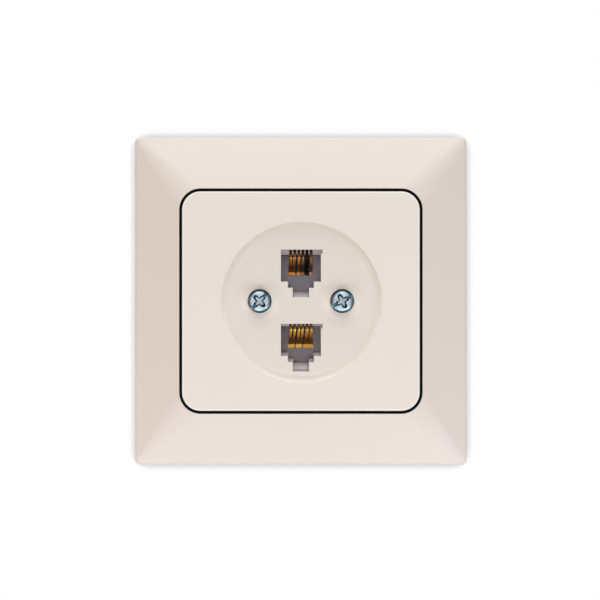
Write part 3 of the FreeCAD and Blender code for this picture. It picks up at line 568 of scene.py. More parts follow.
# A contact's front bend, spring and tip
CONTACT_BEND = (-5.35 * MM, -5.15 * MM)
# Painted shade for a contact's front bend in its comb slot
BEND_SHADE = srgb(24, 18, 14)
STREAK_SIZE = 0.5 * MM
STREAK = srgb(70, 52, 36)
CONTACT_TIP = (3.9 * MM, 4.1 * MM)
RUBBED: Colour = (1.25, 1.2, 1.1)

# How far grime and painted shade reach out of the slots of small screws
GRIME_AND_SHADE_REACH = 0.8 * MM
GRIME_AND_SHADE = srgb(38, 46, 52)

# A cover screw's recess and edges, by their radius, their depth from its seat and their height
RECESS_RING = (2.3 * MM, 2.6 * MM)
RECESS_MOUTH = (-1.65 * MM, -1.45 * MM)
RECESS_FLOOR = (-1.0 * MM, -0.8 * MM)
HEAD_RING = (1.95 * MM, 2.35 * MM)
UPPER_EDGE = ((2.2 * MM, 2.6 * MM), (0.6 * MM, 1.8 * MM))
LOWER_EDGE = ((2.3 * MM, 2.7 * MM), (-2.2 * MM, -1.2 * MM))
FLANKS = (0.62, 0.955)


def size_of(name: str) -> Vector:
    """The width, depth and height of a CAD node."""
    low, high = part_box(name)
    return high - low


# Each mask takes a material's graph, its colour and its roughness, and returns the two changed.


def sprung(graph: Graph, colour: Paint, roughness: Socket) -> Skin:
    """Painted shade on a contact's front bend, dull streaks down its spring and a bright rubbed tip."""
    depth = graph.axes()[1]
    # Painted shade on the front bend
    front = graph.span(depth, 0.85, 0.0, *CONTACT_BEND)
    drawn = graph.place(stretch=(3, 0.3, 0.3))
    streaks = graph.span(graph.noise(STREAK_SIZE, 3.0, drawn), 0.0, 0.7, 0.4, 0.65)
    tip = graph.span(depth, 0.0, 0.9, *CONTACT_TIP)
    light_marked = graph.blend(front, graph.blend(streaks, colour, STREAK), BEND_SHADE)
    return graph.blend(tip, light_marked, graph.blend(1.0, colour, RUBBED, "MULTIPLY")), roughness


def row_share(graph: Graph, rows: Iterable[Sequence[float]]) -> Socket:
    """Picks out bands of height.

    Args:
        graph: The material's graph.
        rows: Each band's low and high end.

    Returns:
        The share.
    """
    height = graph.axes()[2]
    return graph.math("ADD", *(
        graph.band(height, (low, low + ROW_EDGE), (high - ROW_EDGE, high)) for low, high in rows))


def shaded_jack(graph: Graph, colour: Paint, roughness: Socket) -> Skin:
    """Painted shade that greys the jack's front face, a painted shadow behind the contacts and a cooler latch
    opening.
    """
    x, depth, _ = graph.axes()
    # Painted shade: the front face is painted a darker grey than the housing's inside
    front = graph.span(depth, 0.6, 0.0, *JACK_FACE)
    within = graph.span(graph.math("ABSOLUTE", x), 1.0, 0.0, *OPENING_SIDE)
    # Painted shadow on the cavity behind and between the contacts
    behind = graph.span(depth, 0.0, 0.93, *CONTACT_SHADOW_DEPTH)
    shadowed = graph.blend(graph.product(within, behind, row_share(graph, CONTACT_ROWS)), colour, CONTACT_SHADOW)
    cool = graph.tint(graph.product(within, row_share(graph, LATCH_ROWS)), shadowed, COOL)
    return graph.blend(front, cool, FACE_SHADE_GREY), roughness


def grimed_and_shaded(graph: Graph, colour: Paint, roughness: Socket) -> Skin:
    """Grime and painted shade in the slots and round the heads of small screws."""
    # Ambient occlusion paints shade into the hollows, along with the grime
    open_sky = graph.add("ShaderNodeAmbientOcclusion", {"samples": 8}, Distance=GRIME_AND_SHADE_REACH).outputs["AO"]
    return graph.blend(graph.span(open_sky, 0.85, 0.0, 0.45, 0.93), colour, GRIME_AND_SHADE), roughness


def screw_patches_and_shade(seat: Vector, graph: Graph, colour: Paint, roughness: Socket) -> Skin:
    """Painted shade and dark painted reflections on a cover screw's head and in its recess, with rubbed
    patches.

    Args:
        seat: The screw's seat.
        graph: The material's graph.
        colour: The zinc's colour.
        roughness: Its roughness.

    Returns:
        The colour and the roughness.
    """
    normal = graph.add("ShaderNodeNewGeometry").outputs["Normal"]
    steep = graph.span(graph.math("ABSOLUTE", graph.axes(normal)[1]), 0.92, 0.0, *FLANKS)
    x, depth, z = graph.axes(graph.place(seat))
    radius = graph.length(x, z)
    sunk = graph.product(
        graph.span(radius, 1.0, 0.0, *RECESS_RING),
        graph.span(depth, 0.0, 1.0, *RECESS_MOUTH),
        graph.span(depth, 0.95, 0.285, *RECESS_FLOOR),
    )
    patches = graph.span(graph.noise(RUB_SIZE, 3.0), 0.0, 0.5, 0.35, 0.7)
    ring = graph.span(radius, 0.0, 0.5, *HEAD_RING)
    upper, lower = (
        graph.product(graph.span(radius, 0.0, 1.0, *radii), graph.span(z, *shares, *heights))
        for (radii, heights), shares in ((UPPER_EDGE, (0.0, 0.9)), (LOWER_EDGE, (0.5, 0.0))))
    # Painted shade in the recess and along the upper and lower edges, and dark painted reflections on the
    # ring and the steep flanks; the patches are the zinc's own tone
    layers = (
        (sunk, srgb(58, 84, 102)),
        (patches, srgb(120, 146, 166)),
        (ring, srgb(70, 92, 102)),
        (upper, srgb(20, 24, 28)),
        (lower, srgb(60, 84, 90)),
        (steep, srgb(26, 44, 56)),
    )
    for share, layer_colour in layers:
        colour = graph.blend(share, colour, layer_colour)
    return colour, graph.math("ADD", roughness, graph.product(upper, 0.5))


def frame_rim(graph: Graph, colour: Paint) -> Socket:
    """Paints shade along the frame's outer edge: a faint pink tint and a darker line.

    Args:
        graph: The material's graph.
        colour: The frame's colour.

    Returns:
        The new colour.
    """
    size = size_of("outer_frame")
    edge = graph.beyond(RoundedBox(size.x, size.z, RIM_RADIUS))
    # Painted shade along the outer edge
    pink_shaded = graph.tint(graph.span(edge, 0.0, 0.5, *RIM_PINK_SHADE_REACH), colour, RIM_PINK_SHADE)
    line = graph.span(edge, 0.0, 0.8, *RIM_LINE)
    return graph.blend(line, pink_shaded, graph.blend(1.0, colour, RIM_LINE_SHADE, "MULTIPLY"))


def frame_joint(graph: Graph, colour: Paint, roughness: Socket) -> Skin:
    """Painted shade in the joint round the plate, on the window's wall and on the ledge."""
    plate = size_of("centre_plate")
    window = RoundedBox(plate.x + 2 * JOINT_GAP, plate.z + 2 * JOINT_GAP, WINDOW_RADIUS)
    inside = graph.span(graph.beyond(window), 1.0, 0.0, *JOINT_SIDE)
    # Painted shade: the joint's walls and ledge are painted near black
    joint_shade = graph.product(inside, graph.band(graph.axes()[1], JOINT_MOUTH, JOINT_FLOOR))
    dull = graph.math("ADD", roughness, graph.product(joint_shade, JOINT_SHADE_ROUGHNESS))
    return graph.blend(joint_shade, frame_rim(graph, colour), SHADOW), dull


def plate_joint(graph: Graph, colour: Paint, roughness: Socket) -> Skin:
    """Painted shade on the plate's skirt in the joint, a painted highlight along its edge, and the tones of
    its dish.
    """
    plate = size_of("centre_plate")
    beyond = graph.beyond(RoundedBox(plate.x, plate.z, WINDOW_RADIUS - JOINT_GAP))
    depth = graph.axes()[1]
    # Painted highlight: a bright line where the plate's face meets its edge
    light_marked = graph.product(graph.span(beyond, 0.0, 1.0, *PLATE_EDGE), graph.span(depth, 1.0, 0.0, *PLATE_FACE))
    edged = graph.blend(light_marked, colour, PAINTED_EDGE_HIGHLIGHT)
    dished, floor = dish(graph, edged)
    # Painted shade on the plate's skirt inside the joint
    joint_shade = graph.product(graph.span(beyond, 0.0, 1.0, *PLATE_SIDE), graph.span(depth, 0.0, 1.0, *PLATE_FACE))
    dull = graph.math("ADD", graph.product(floor, DISH_ROUGHNESS), graph.product(joint_shade, JOINT_SHADE_ROUGHNESS))
    return graph.blend(joint_shade, dished, SHADOW), graph.math("ADD", roughness, dull)


def dish(graph: Graph, colour: Socket) -> tuple[Socket, Socket]:
    """Tones the dish: a matt floor, painted shade under its upper rim, and painted light along its sides, at
    the root of its wall and round the screws.

    Args:
        graph: The plate's graph.
        colour: The plate's colour.

    Returns:
        The new colour, and the floor's share.
    """
    x, depth, z = graph.axes(graph.place(DISH_CENTRE))
    radius = graph.length(x, z)
    floor = graph.product(graph.span(radius, 1.0, 0.0, *DISH_FLOOR), graph.span(depth, 1.0, 0.0, *DISH_DEPTH))
    upper = graph.span(z, 0.0, 1.0, *DISH_UPPER)
    sides = graph.span(graph.math("ABSOLUTE", z), 0.6, 0.0, *DISH_SIDES)
    ends = graph.math("ADD", graph.span(z, 1.0, 0.0, *DISH_LOWER_END),
                      graph.span(z, 0.0, 0.6, *DISH_UPPER_END))
    toned = graph.tint(floor, colour, DISH_MATT)
    # Painted shade under the upper rim
    toned = graph.tint(graph.product(upper, graph.band(radius, *DISH_BROW)), toned, DISH_UPPER_SHADE)
    # Painted light on the rim's sides and at the root of its wall
    toned = graph.tint(graph.product(sides, graph.band(radius, *DISH_FLANK)), toned, DISH_PAINTED_LIGHT)
    toned = graph.tint(graph.product(ends, graph.band(radius, *DISH_ROOT)), toned, DISH_PAINTED_LIGHT)
    for name in ("cover_screw_right", "cover_screw_left"):
        low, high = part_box(name)
        across, _, up = graph.axes(graph.place(((low.x + high.x) / 2, 0, (low.z + high.z) / 2 - SCREW_LIFT_DROP)))
        # Painted light that lifts the screw's shadow
        lifted = graph.span(graph.length(across, up), 1.0, 0.0, *SCREW_LIFT_RING)
        toned = graph.tint(graph.product(floor, lifted), toned, SCREW_SHADOW_LIFT)
    return toned, floor


FRAME_PLASTIC = Finish("frame_plastic", "frame_plastic", srgb(240, 230, 221), 0.36, mottle=0.008,
                       mask=frame_joint)
PLATE_PLASTIC = Finish("plate_plastic", "plate_plastic", srgb(247, 238, 229), 0.38, mottle=0.008,
                       mask=plate_joint)
ZINC = Finish("zinc_plate", "zinc_steel", srgb(208, 218, 226), 0.30, Pattern.PLATED, metallic=1.0,
              mottle=0.10, mottle_size=0.8 * MM, grain=0.010 * MM, grain_size=0.12 * MM, mask=grimed_and_shaded)
COVER_SCREW_ZINC = Finish("cover_screw_zinc", "zinc_steel", srgb(216, 230, 238), 0.24, Pattern.PLATED,
                          metallic=1.0, mottle=0.05, mottle_size=1.2 * MM, grain=0.010 * MM,
                          grain_size=0.16 * MM)
BRASS = Finish("brass", "brass", srgb(214, 178, 104), 0.3, Pattern.ROLLED, metallic=1.0,
               mottle=0.05, mottle_size=2 * MM, grain=0.004 * MM, grain_size=0.1 * MM)
GALVANISED = Finish("galvanised_sheet", "galvanised_sheet", srgb(190, 195, 200), 0.42, Pattern.SPANGLED,
                    metallic=1.0, mottle=0.05, mottle_size=9 * MM, grain=0.004 * MM, grain_size=2.4 * MM)
RIVET = Finish("rivet_steel", "rivet_steel", srgb(176, 178, 180), 0.34, Pattern.PLATED, metallic=1.0,
               mottle=0.06, mottle_size=1.2 * MM)
BASE_PLASTIC = Finish("base_plastic", "base_plastic", srgb(226, 224, 217), 0.5, mottle=0.015)
BOARD = Finish("board_laminate", "board", srgb(38, 104, 66), 0.32, Pattern.LAMINATED, mottle=0.06,
               mottle_size=6 * MM, grain=0.003 * MM, grain_size=0.5 * MM, coat=0.4)
JACK_PLASTIC = Finish("jack_plastic", "jack_plastic", srgb(226, 221, 229), 0.42, mottle=0.03,
                      mottle_size=5 * MM, mask=shaded_jack)
CARRIER_PLASTIC = Finish("carrier_plastic", "carrier_plastic", srgb(30, 29, 31), 0.45, mottle=0.05,
                         mottle_size=2 * MM)
CONTACT_GOLD = Finish("contact_gold", "contact_gold", srgb(246, 190, 84), 0.30, Pattern.ROLLED, metallic=0.95,
                      mottle=0.08, mottle_size=1.5 * MM, grain=0.003 * MM, grain_size=0.06 * MM, mask=sprung)
CONTACT_WORN = replace(CONTACT_GOLD, name="contact_worn", colour=srgb(222, 150, 78))
CONTACT_BRASSY = replace(CONTACT_GOLD, name="contact_brassy", colour=srgb(232, 170, 78))
CONTACT_DULL = replace(CONTACT_GOLD, name="contact_dull", colour=srgb(158, 124, 84))
# Painted shade: a near-black copy of the gold for a contact that lies in shade
CONTACT_SHADED = replace(CONTACT_GOLD, name="contact_shaded", colour=srgb(24, 18, 15))
SOLDER = Finish("solder", "zinc_steel", srgb(190, 190, 188), 0.30, Pattern.PLATED, metallic=1.0,
                mottle=0.08, mottle_size=0.5 * MM, grain=0.004 * MM, grain_size=0.1 * MM)
MASKED_COPPER = Finish("masked_copper", "board", srgb(50, 128, 74), 0.32, mottle=0.04, mottle_size=2 * MM)
TERMINAL_PLASTIC = Finish("terminal_plastic", "terminal_plastic", srgb(76, 132, 92), 0.44, mottle=0.03,
                          mottle_size=6 * MM)


def node(name: str) -> bpy.types.Object:
    """The CAD node of that name."""
    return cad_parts[name]


def add_object(name: str, data: bpy.types.ID) -> bpy.types.Object:
    """Adds an object to the scene.

    Args:
        name: Its name.
        data: Its mesh, camera or light.

    Returns:
        The object.
    """
    added = bpy.data.objects.new(name, data)
    bpy.context.scene.collection.objects.link(added)
    return added


def mesh_object(name: str, mesh: bmesh.types.BMesh) -> bpy.types.Object:
    """Adds a mesh object to the scene.

    Args:
        name: Its name.
        mesh: Its bmesh, which is freed.

    Returns:
        The object.
    """
    data = bpy.data.meshes.new(name)
    mesh.to_mesh(data)
    mesh.free()
    return add_object(name, data)


def only(kind: type, items: Iterable) -> list:
    """The items of one kind among those that a bmesh operator returns.

    Args:
        kind: The kind.
        items: The items.

    Returns:
        The items of that kind.
    """
    return [item for item in items if isinstance(item, kind)]


def upright(mesh: bmesh.types.BMesh, corners: Sequence[bmesh.types.BMVert]) -> None:
    """Turns corners from the XY plane into the XZ plane.

    Args:
        mesh: The bmesh.
        corners: Its corners.
    """
    bmesh.ops.rotate(mesh, cent=(0, 0, 0), matrix=Matrix.Rotation(math.pi / 2, 3, "X"), verts=corners)


def new_piece(name: str, mesh: bmesh.types.BMesh, smooth_angle: float = 40.0) -> bpy.types.Object:
    """Makes a finished bmesh a piece that rides on the body.

    Args:
        name: The piece's name.
        mesh: Its bmesh, which is freed.
        smooth_angle: The angle in degrees under which edges look smooth.

    Returns:
        The piece.
    """
    bmesh.ops.recalc_face_normals(mesh, faces=mesh.faces)
    piece = mesh_object(name, mesh)
    piece.data.shade_smooth()
    piece.data.set_sharp_from_angle(angle=math.radians(smooth_angle))
    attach(piece, BODY)
    return piece


# Sub-assemblies


@dataclass
class SubAssembly:
    """Pieces of the socket that belong together.

    Attributes:
        painter: Gives the pieces their finishes.
    """

    painter: Painter

    def dress(self, finishes: dict[str, Finish]) -> None:
        """Finishes CAD nodes that keep their form.

        Args:
            finishes: Each node's finish.
        """
        for name, finish in finishes.items():
            self.painter.paint(node(name), finish)


class Covers(SubAssembly):
    """The frame and the centre plate that show on the wall."""

    def build(self) -> None:
        """Finishes both mouldings."""
        self.dress({"outer_frame": FRAME_PLASTIC, "centre_plate": PLATE_PLASTIC})


@dataclass(frozen=True)
class ScrewForm:
    """The sizes of a cover screw, in millimetres, with its seat at 0 and its head towards -Y.

    Attributes:
        head_radius: The head's radius.
        head_height: Its height at the middle.
        roundness: How square the head's edge is, where 2 is a dome.
        rim: The height of the head's straight rim.
        foot: How far its lower edge is drawn in.
        shank_radius: The radius over the thread.
        length: The length under the head.
        thread_pitch: The thread's pitch.
        thread_depth: The thread's depth.
        run_in: How much of the shank under the head is plain.
        neck: How far the shank reaches into the head.
        slot_width: The slot's width.
        slot_depth: The slot's depth.
        cross_inner: The cross's radius between its arms.
        cross_outer: Its radius at the arms' ends.
        cross_depth: Its depth.
        cross_taper: The size of its floor against its mouth.
        cross_lobe: How slender its arms are.
        grid: How fine the head's surface is.
        facets: How many steps the head's outline takes round its axis.
        thread_step: How long one ring of the thread is.
        thread_facets: How many facets such a ring has.
    """

    head_radius: float = 3.0
    head_height: float = 1.86
    roundness: float = 3.2
    rim: float = 0.2
    foot: float = 0.1
    shank_radius: float = 1.47
    length: float = 10.9
    thread_pitch: float = 0.5
    thread_depth: float = 0.22
    run_in: float = 0.2
    neck: float = 0.3
    slot_width: float = 0.85
    slot_depth: float = 0.8
    cross_inner: float = 1.0
    cross_outer: float = 2.3
    cross_depth: float = 1.2
    cross_taper: float = 0.55
    cross_lobe: float = 1.6
    grid: float = 0.06
    facets: int = 72
    thread_step: float = 0.1
    thread_facets: int = 24


@dataclass
class CoverScrew(SubAssembly):
    """One of the screws that hold the centre plate, with a combined slot and cross.

    Attributes:
        side: Which of the two screws it is.
        turn: How far it is turned, in degrees.
        form: Its sizes.
        seat_to_end: How far its seat lies from the end of its shank.
    """

    side: str
    turn: float
    form: ScrewForm = ScrewForm()
    seat_to_end: float = 11 * MM

    def build(self) -> None:
        """Models the screw in place of the CAD node."""
        name = f"cover_screw_{self.side}"
        low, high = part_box(name)
        seat = Vector(((low.x + high.x) / 2, high.y - self.seat_to_end, (low.z + high.z) / 2))
        mesh = self.head()
        self.shank(mesh)
        turned = Matrix.Rotation(-math.radians(self.turn), 4, "Y")
        mesh.transform(Matrix.Translation(seat) @ Matrix.Scale(MM, 4) @ turned)
        piece = new_piece(f"{name}_turned", mesh, 50.0)
        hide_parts(name)
        finish = replace(COVER_SCREW_ZINC, name=f"{name}_zinc", mask=partial(screw_patches_and_shade, seat))
        self.painter.paint(piece, finish)

    def head(self) -> bmesh.types.BMesh:
        """The rounded head with its recess, evened out on a fine grid."""
        form = self.form
        mesh = bmesh.new()
        steps = form.facets // 3
        power = 2 / form.roundness
        points = []
        for step in range(steps):
            turn = math.pi / 2 * step / steps
            across = form.head_radius * math.sin(turn) ** power
            points.append((across, -form.head_height * math.cos(turn) ** power))
        points += [(form.head_radius, -form.rim), (form.head_radius - form.foot, 0), (0, 0)]
        corners = [mesh.verts.new((across, depth, 0)) for across, depth in points]
        edges = [mesh.edges.new(pair) for pair in zip(corners, corners[1:])]
        bmesh.ops.spin(mesh, geom=corners + edges, cent=(0, 0, 0), axis=(0, 1, 0), angle=math.tau,
                       steps=form.facets, use_merge=True)
        bmesh.ops.remove_doubles(mesh, verts=mesh.verts, dist=1e-4)
        bmesh.ops.recalc_face_normals(mesh, faces=mesh.faces)
        helpers = [mesh_object(f"{self.side}_head", mesh)]
        head = helpers[0]
        for number, cutter in enumerate((self.slot(), self.cross())):
            helpers.append(mesh_object(f"{self.side}_cutter_{number}", cutter))
            cut = head.modifiers.new(f"cut_{number}", "BOOLEAN")
            cut.operation = "DIFFERENCE"
            cut.object = helpers[-1]
        evened = head.modifiers.new("evened", "REMESH")
        evened.mode = "VOXEL"
        evened.voxel_size = form.grid
        softened = head.modifiers.new("softened", "SMOOTH")
        softened.iterations = 2
        thinned = head.modifiers.new("thinned", "DECIMATE")
        thinned.ratio = 0.5
        result = bmesh.new()
        result.from_object(head, bpy.context.evaluated_depsgraph_get())
        for helper in helpers:
            bpy.data.objects.remove(helper)
        return result

    def slot(self) -> bmesh.types.BMesh:
        """The block that cuts the slot across the head."""
        form = self.form
        mesh = bmesh.new()
        bmesh.ops.create_cube(mesh, size=1)
        bmesh.ops.scale(mesh, vec=(3 * form.head_radius, 2 * form.slot_depth, form.slot_width),
                        verts=mesh.verts)
        bmesh.ops.translate(mesh, vec=(0, -form.head_height, 0), verts=mesh.verts)
        return mesh

    def cross(self) -> bmesh.types.BMesh:
        """The tapered four-lobed plug that cuts the cross."""
        form = self.form
        mesh = bmesh.new()
        bmesh.ops.create_circle(mesh, cap_ends=True, radius=1, segments=64)
        for corner in mesh.verts:
            lobe = abs(math.cos(2 * math.atan2(corner.co.y, corner.co.x))) ** form.cross_lobe
            corner.co *= form.cross_inner + (form.cross_outer - form.cross_inner) * lobe
        upright(mesh, mesh.verts)
        above = 0.3
        bmesh.ops.translate(mesh, vec=(0, -form.head_height - above, 0), verts=mesh.verts)
        corners = only(bmesh.types.BMVert, bmesh.ops.extrude_face_region(mesh, geom=mesh.faces[:])["geom"])
        bmesh.ops.scale(mesh, vec=(form.cross_taper, 1, form.cross_taper), verts=corners)
        bmesh.ops.translate(mesh, vec=(0, form.cross_depth + above, 0), verts=corners)
        bmesh.ops.recalc_face_normals(mesh, faces=mesh.faces)
        return mesh

    def shank(self, mesh: bmesh.types.BMesh) -> None:
        """Adds the threaded shank, a fine tube whose radius follows a helix.

        Args:
            mesh: The bmesh that takes it.
        """
        form = self.form
        before = set(mesh.verts)
        rows = int(form.length / form.thread_step)
        step = (form.length + form.neck) / rows
        made = bmesh.ops.create_circle(mesh, cap_ends=False, radius=form.shank_radius,
                                       segments=form.thread_facets)["verts"]
        upright(mesh, made)
        bmesh.ops.translate(mesh, vec=(0, -form.neck, 0), verts=made)
        ring = list({edge for corner in made for edge in corner.link_edges})
        bmesh.ops.contextual_create(mesh, geom=ring)
        for _ in range(rows):
            grown = bmesh.ops.extrude_edge_only(mesh, edges=ring)["geom"]
            ring = only(bmesh.types.BMEdge, grown)
            bmesh.ops.translate(mesh, vec=(0, step, 0), verts=only(bmesh.types.BMVert, grown))
        bmesh.ops.contextual_create(mesh, geom=ring)
        for corner in set(mesh.verts) - before:
            turn = math.atan2(corner.co.z, corner.co.x) / math.tau
            phase = (corner.co.y / form.thread_pitch + turn) % 1
            drop = form.thread_depth * abs(2 * phase - 1) if corner.co.y > form.run_in else 0.0
            corner.co.x *= 1 - drop / form.shank_radius
            corner.co.z *= 1 - drop / form.shank_radius


class Carrier(SubAssembly):
    """The strap, its rivets, and the base moulding with its bushes."""

    def build(self) -> None:
        """Finishes the four pieces."""
        self.dress({"cover_screw_bushes": BRASS, "mounting_strap": GALVANISED, "strap_rivets": RIVET,
                    "mechanism_base": BASE_PLASTIC})


@dataclass(frozen=True)
class Spring:
    """How one contact spring has set in use.

    Attributes:
        finish: Its metal.
        lean: How far its tip stands to the side, in metres.
        spread: Its tip's width against the strip's.
    """

    finish: Finish
    lean: float
    spread: float


@dataclass
class Jack(SubAssembly):
    """One modular jack with its sprung contacts.

    Attributes:
        row: Which of the two jacks it is.
        springs: How each contact has set.
        sag: How far the tips hang lower than in the solids.
        comb: How far down the comb holds the contacts.
        tip_fall: How high above its lower end a contact's tip starts.
        tip_slope: How far the tip leans forwards against its height.
        knee_depth: How far behind the contact's front its knee lies.
        knee_squeeze: The strip's slant at the knee against the straight one's.
    """

    row: str
    springs: tuple[Spring, ...]
    sag: float = 0.0
    comb: float = 1.5 * MM
    tip_fall: float = 0.95 * MM
    tip_slope: float = 0.45
    knee_depth: float = 1.5 * MM
    knee_squeeze: float = 0.4

    def build(self) -> None:
        """Finishes the housing and the contact carrier, and bends the contacts."""
        self.dress({f"{self.row}_jack_housing": JACK_PLASTIC, f"{self.row}_contact_carrier": CARRIER_PLASTIC})
        for number, spring in enumerate(self.springs, start=1):
            self.contact(f"{self.row}_contact_{number}", spring)

    def contact(self, name: str, spring: Spring) -> None:
        """Bends a contact to the side below its comb slot, with a wider tip.

        Args:
            name: The CAD node.
            spring: How it has set.
        """
        low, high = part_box(name)
        middle = (low.x + high.x) / 2
        start = high.z - self.comb
        tip = low.z + self.tip_fall
        knee = (start + tip) / 2
        mesh = bmesh.new()
        mesh.from_mesh(node(name).data)
        bmesh.ops.remove_doubles(mesh, verts=mesh.verts, dist=NEARBY)
        cut = bmesh.ops.bisect_plane(mesh, geom=mesh.verts[:] + mesh.edges[:] + mesh.faces[:], dist=NEARBY,
                                     plane_co=(0, 0, knee), plane_no=(0, 0, 1))["geom_cut"]
        bends = only(bmesh.types.BMVert, cut)
        depth = sum(corner.co.y for corner in bends) / len(bends)
        for corner in bends:
            corner.co.y = low.y + self.knee_depth + self.knee_squeeze * (corner.co.y - depth)
        for corner in mesh.verts:
            if corner.co.z >= start:
                continue
            share = (start - corner.co.z) / (start - low.z)
            width = 1 + (spring.spread - 1) * share
            corner.co.x = middle + spring.lean * share + (corner.co.x - middle) * width
            corner.co.y -= self.tip_slope * max(tip - corner.co.z, 0.0)
            corner.co.z -= self.sag * share
        piece = new_piece(f"{name}_bent", mesh)
        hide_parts(name)
        self.painter.paint(piece, spring.finish)


class Wiring(SubAssembly):
    """The board behind the jacks with its screw terminals."""

    def build(self) -> None:
        """Finishes the board, its screws and the terminals."""
        self.dress({"circuit_board": BOARD, "board_screws": ZINC})
        for row in ("upper", "lower"):
            self.dress({f"{row}_terminal_block": TERMINAL_PLASTIC, f"{row}_terminal_screws": ZINC})
            self.dress({f"{row}_terminal_cage_{number}": BRASS for number in NUMBERS})


@dataclass
class BoardDetail(SubAssembly):
    """The solder joints and the copper tracks on the back of the circuit board.

    Attributes:
        joint_radius: A joint's radius on the board.
        joint_height: A joint's height.
        joint_flare: How much of its foot is a thin flare.
        joint_steps: How many steps its flank has.
        joint_facets: How many facets it has round its pin.
        tail: How far the middle of a contact's tail lies below its upper side.
        track_width: A track's width.
        track_height: A track's height over the board.
        track_end: How far a track runs under the terminal block.
    """

    joint_radius: float = 0.42 * MM
    joint_height: float = 0.42 * MM
    joint_flare: float = 0.68
    joint_steps: int = 6
    joint_facets: int = 20
    tail: float = 0.15 * MM
    track_width: float = 0.55 * MM
    track_height: float = 0.05 * MM
    track_end: float = 0.5 * MM

    def build(self) -> None:
        """Models the joints at the lower contacts' tails, and the tracks to the lower terminals."""
        solder = bmesh.new()
        copper = bmesh.new()
        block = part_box("lower_terminal_block")[1].z
        contacts = [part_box(f"lower_contact_{number}") for number in NUMBERS]
        cages = [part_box(f"lower_terminal_cage_{number}") for number in NUMBERS]
        for boxes in (contacts, cages):
            boxes.sort(key=lambda box: box[0].x)
        for (low, high), (cage_low, cage_high) in zip(contacts, cages):
            pin = Vector(((low.x + high.x) / 2, high.y, high.z - self.tail))
            self.joint(solder, pin)
            self.track(copper, pin, (cage_low.x + cage_high.x) / 2, block)
        self.painter.paint(new_piece("solder_joints", solder), SOLDER)
        self.painter.paint(new_piece("board_tracks", copper), MASKED_COPPER)

    def joint(self, mesh: bmesh.types.BMesh, pin: Vector) -> None:
        """Adds one solder joint, a cone with hollow flanks.

        Args:
            mesh: The bmesh that takes it.
            pin: The tail's end on the board.
        """
        corners = []
        for step in range(self.joint_steps + 1):
            risen = step / self.joint_steps
            left = 1 - risen
            radius = self.joint_radius * ((1 - self.joint_flare) * left ** 0.5 + self.joint_flare * left ** 3)
            corners.append(mesh.verts.new(pin + Vector((radius, self.joint_height * risen, 0))))
        edges = [mesh.edges.new(pair) for pair in zip(corners, corners[1:])]
        bmesh.ops.spin(mesh, geom=corners + edges, cent=pin, axis=(0, 1, 0), angle=math.tau,
                       steps=self.joint_facets, use_merge=True)
        bmesh.ops.remove_doubles(mesh, verts=mesh.verts, dist=NEARBY)
        bmesh.ops.contextual_create(mesh, geom=[edge for edge in mesh.edges if edge.is_boundary])
        bmesh.ops.recalc_face_normals(mesh, faces=mesh.faces)

    def track(self, mesh: bmesh.types.BMesh, pin: Vector, side: float, end: float) -> None:
        """Adds one track, down from a joint, across and down to its terminal.

        Args:
            mesh: The bmesh that takes it.
            pin: The tail's end on the board.
            side: The terminal's place along X.
            end: The terminal block's edge along Z.
        """
        run = pin.z - end
        shift = abs(side - pin.x)
        turn = pin.z - max(0.25 * run * (1 - shift / (2 * run)), (run - shift) / 2)
        landing = min(turn - 0.1 * MM, max(turn - shift, end))
        stops = [Vector((pin.x, pin.y, turn)), Vector((side, pin.y, landing)),
                 Vector((side, pin.y, end - self.track_end))]
        half = Vector((self.track_width / 2, 0, 0))
        edges = [mesh.edges.new((mesh.verts.new(pin - half), mesh.verts.new(pin + half)))]
        faces = []
        for start, stop in zip([pin, *stops], stops):
            grown = bmesh.ops.extrude_edge_only(mesh, edges=edges)["geom"]
            edges = only(bmesh.types.BMEdge, grown)[:1]
            faces += only(bmesh.types.BMFace, grown)
            bmesh.ops.translate(mesh, vec=stop - start, verts=only(bmesh.types.BMVert, grown))
        top = bmesh.ops.extrude_face_region(mesh, geom=faces)["geom"]
        bmesh.ops.translate(mesh, vec=(0, self.track_height, 0), verts=only(bmesh.types.BMVert, top))
        bmesh.ops.recalc_face_normals(mesh, faces=mesh.faces)


# Studio


@dataclass(frozen=True)
class Lamp:
    """One soft light.

    Attributes:
        name: Its name.
        place: Where it stands.
        width: Its width.
        height: Its height.
        power: Its power in watts, as red, green and blue.
        mirrored: Whether gloss and metal show it.
    """

    name: str
    place: tuple[float, float, float]
    width: float
    height: float
    power: Colour
    mirrored: bool = True


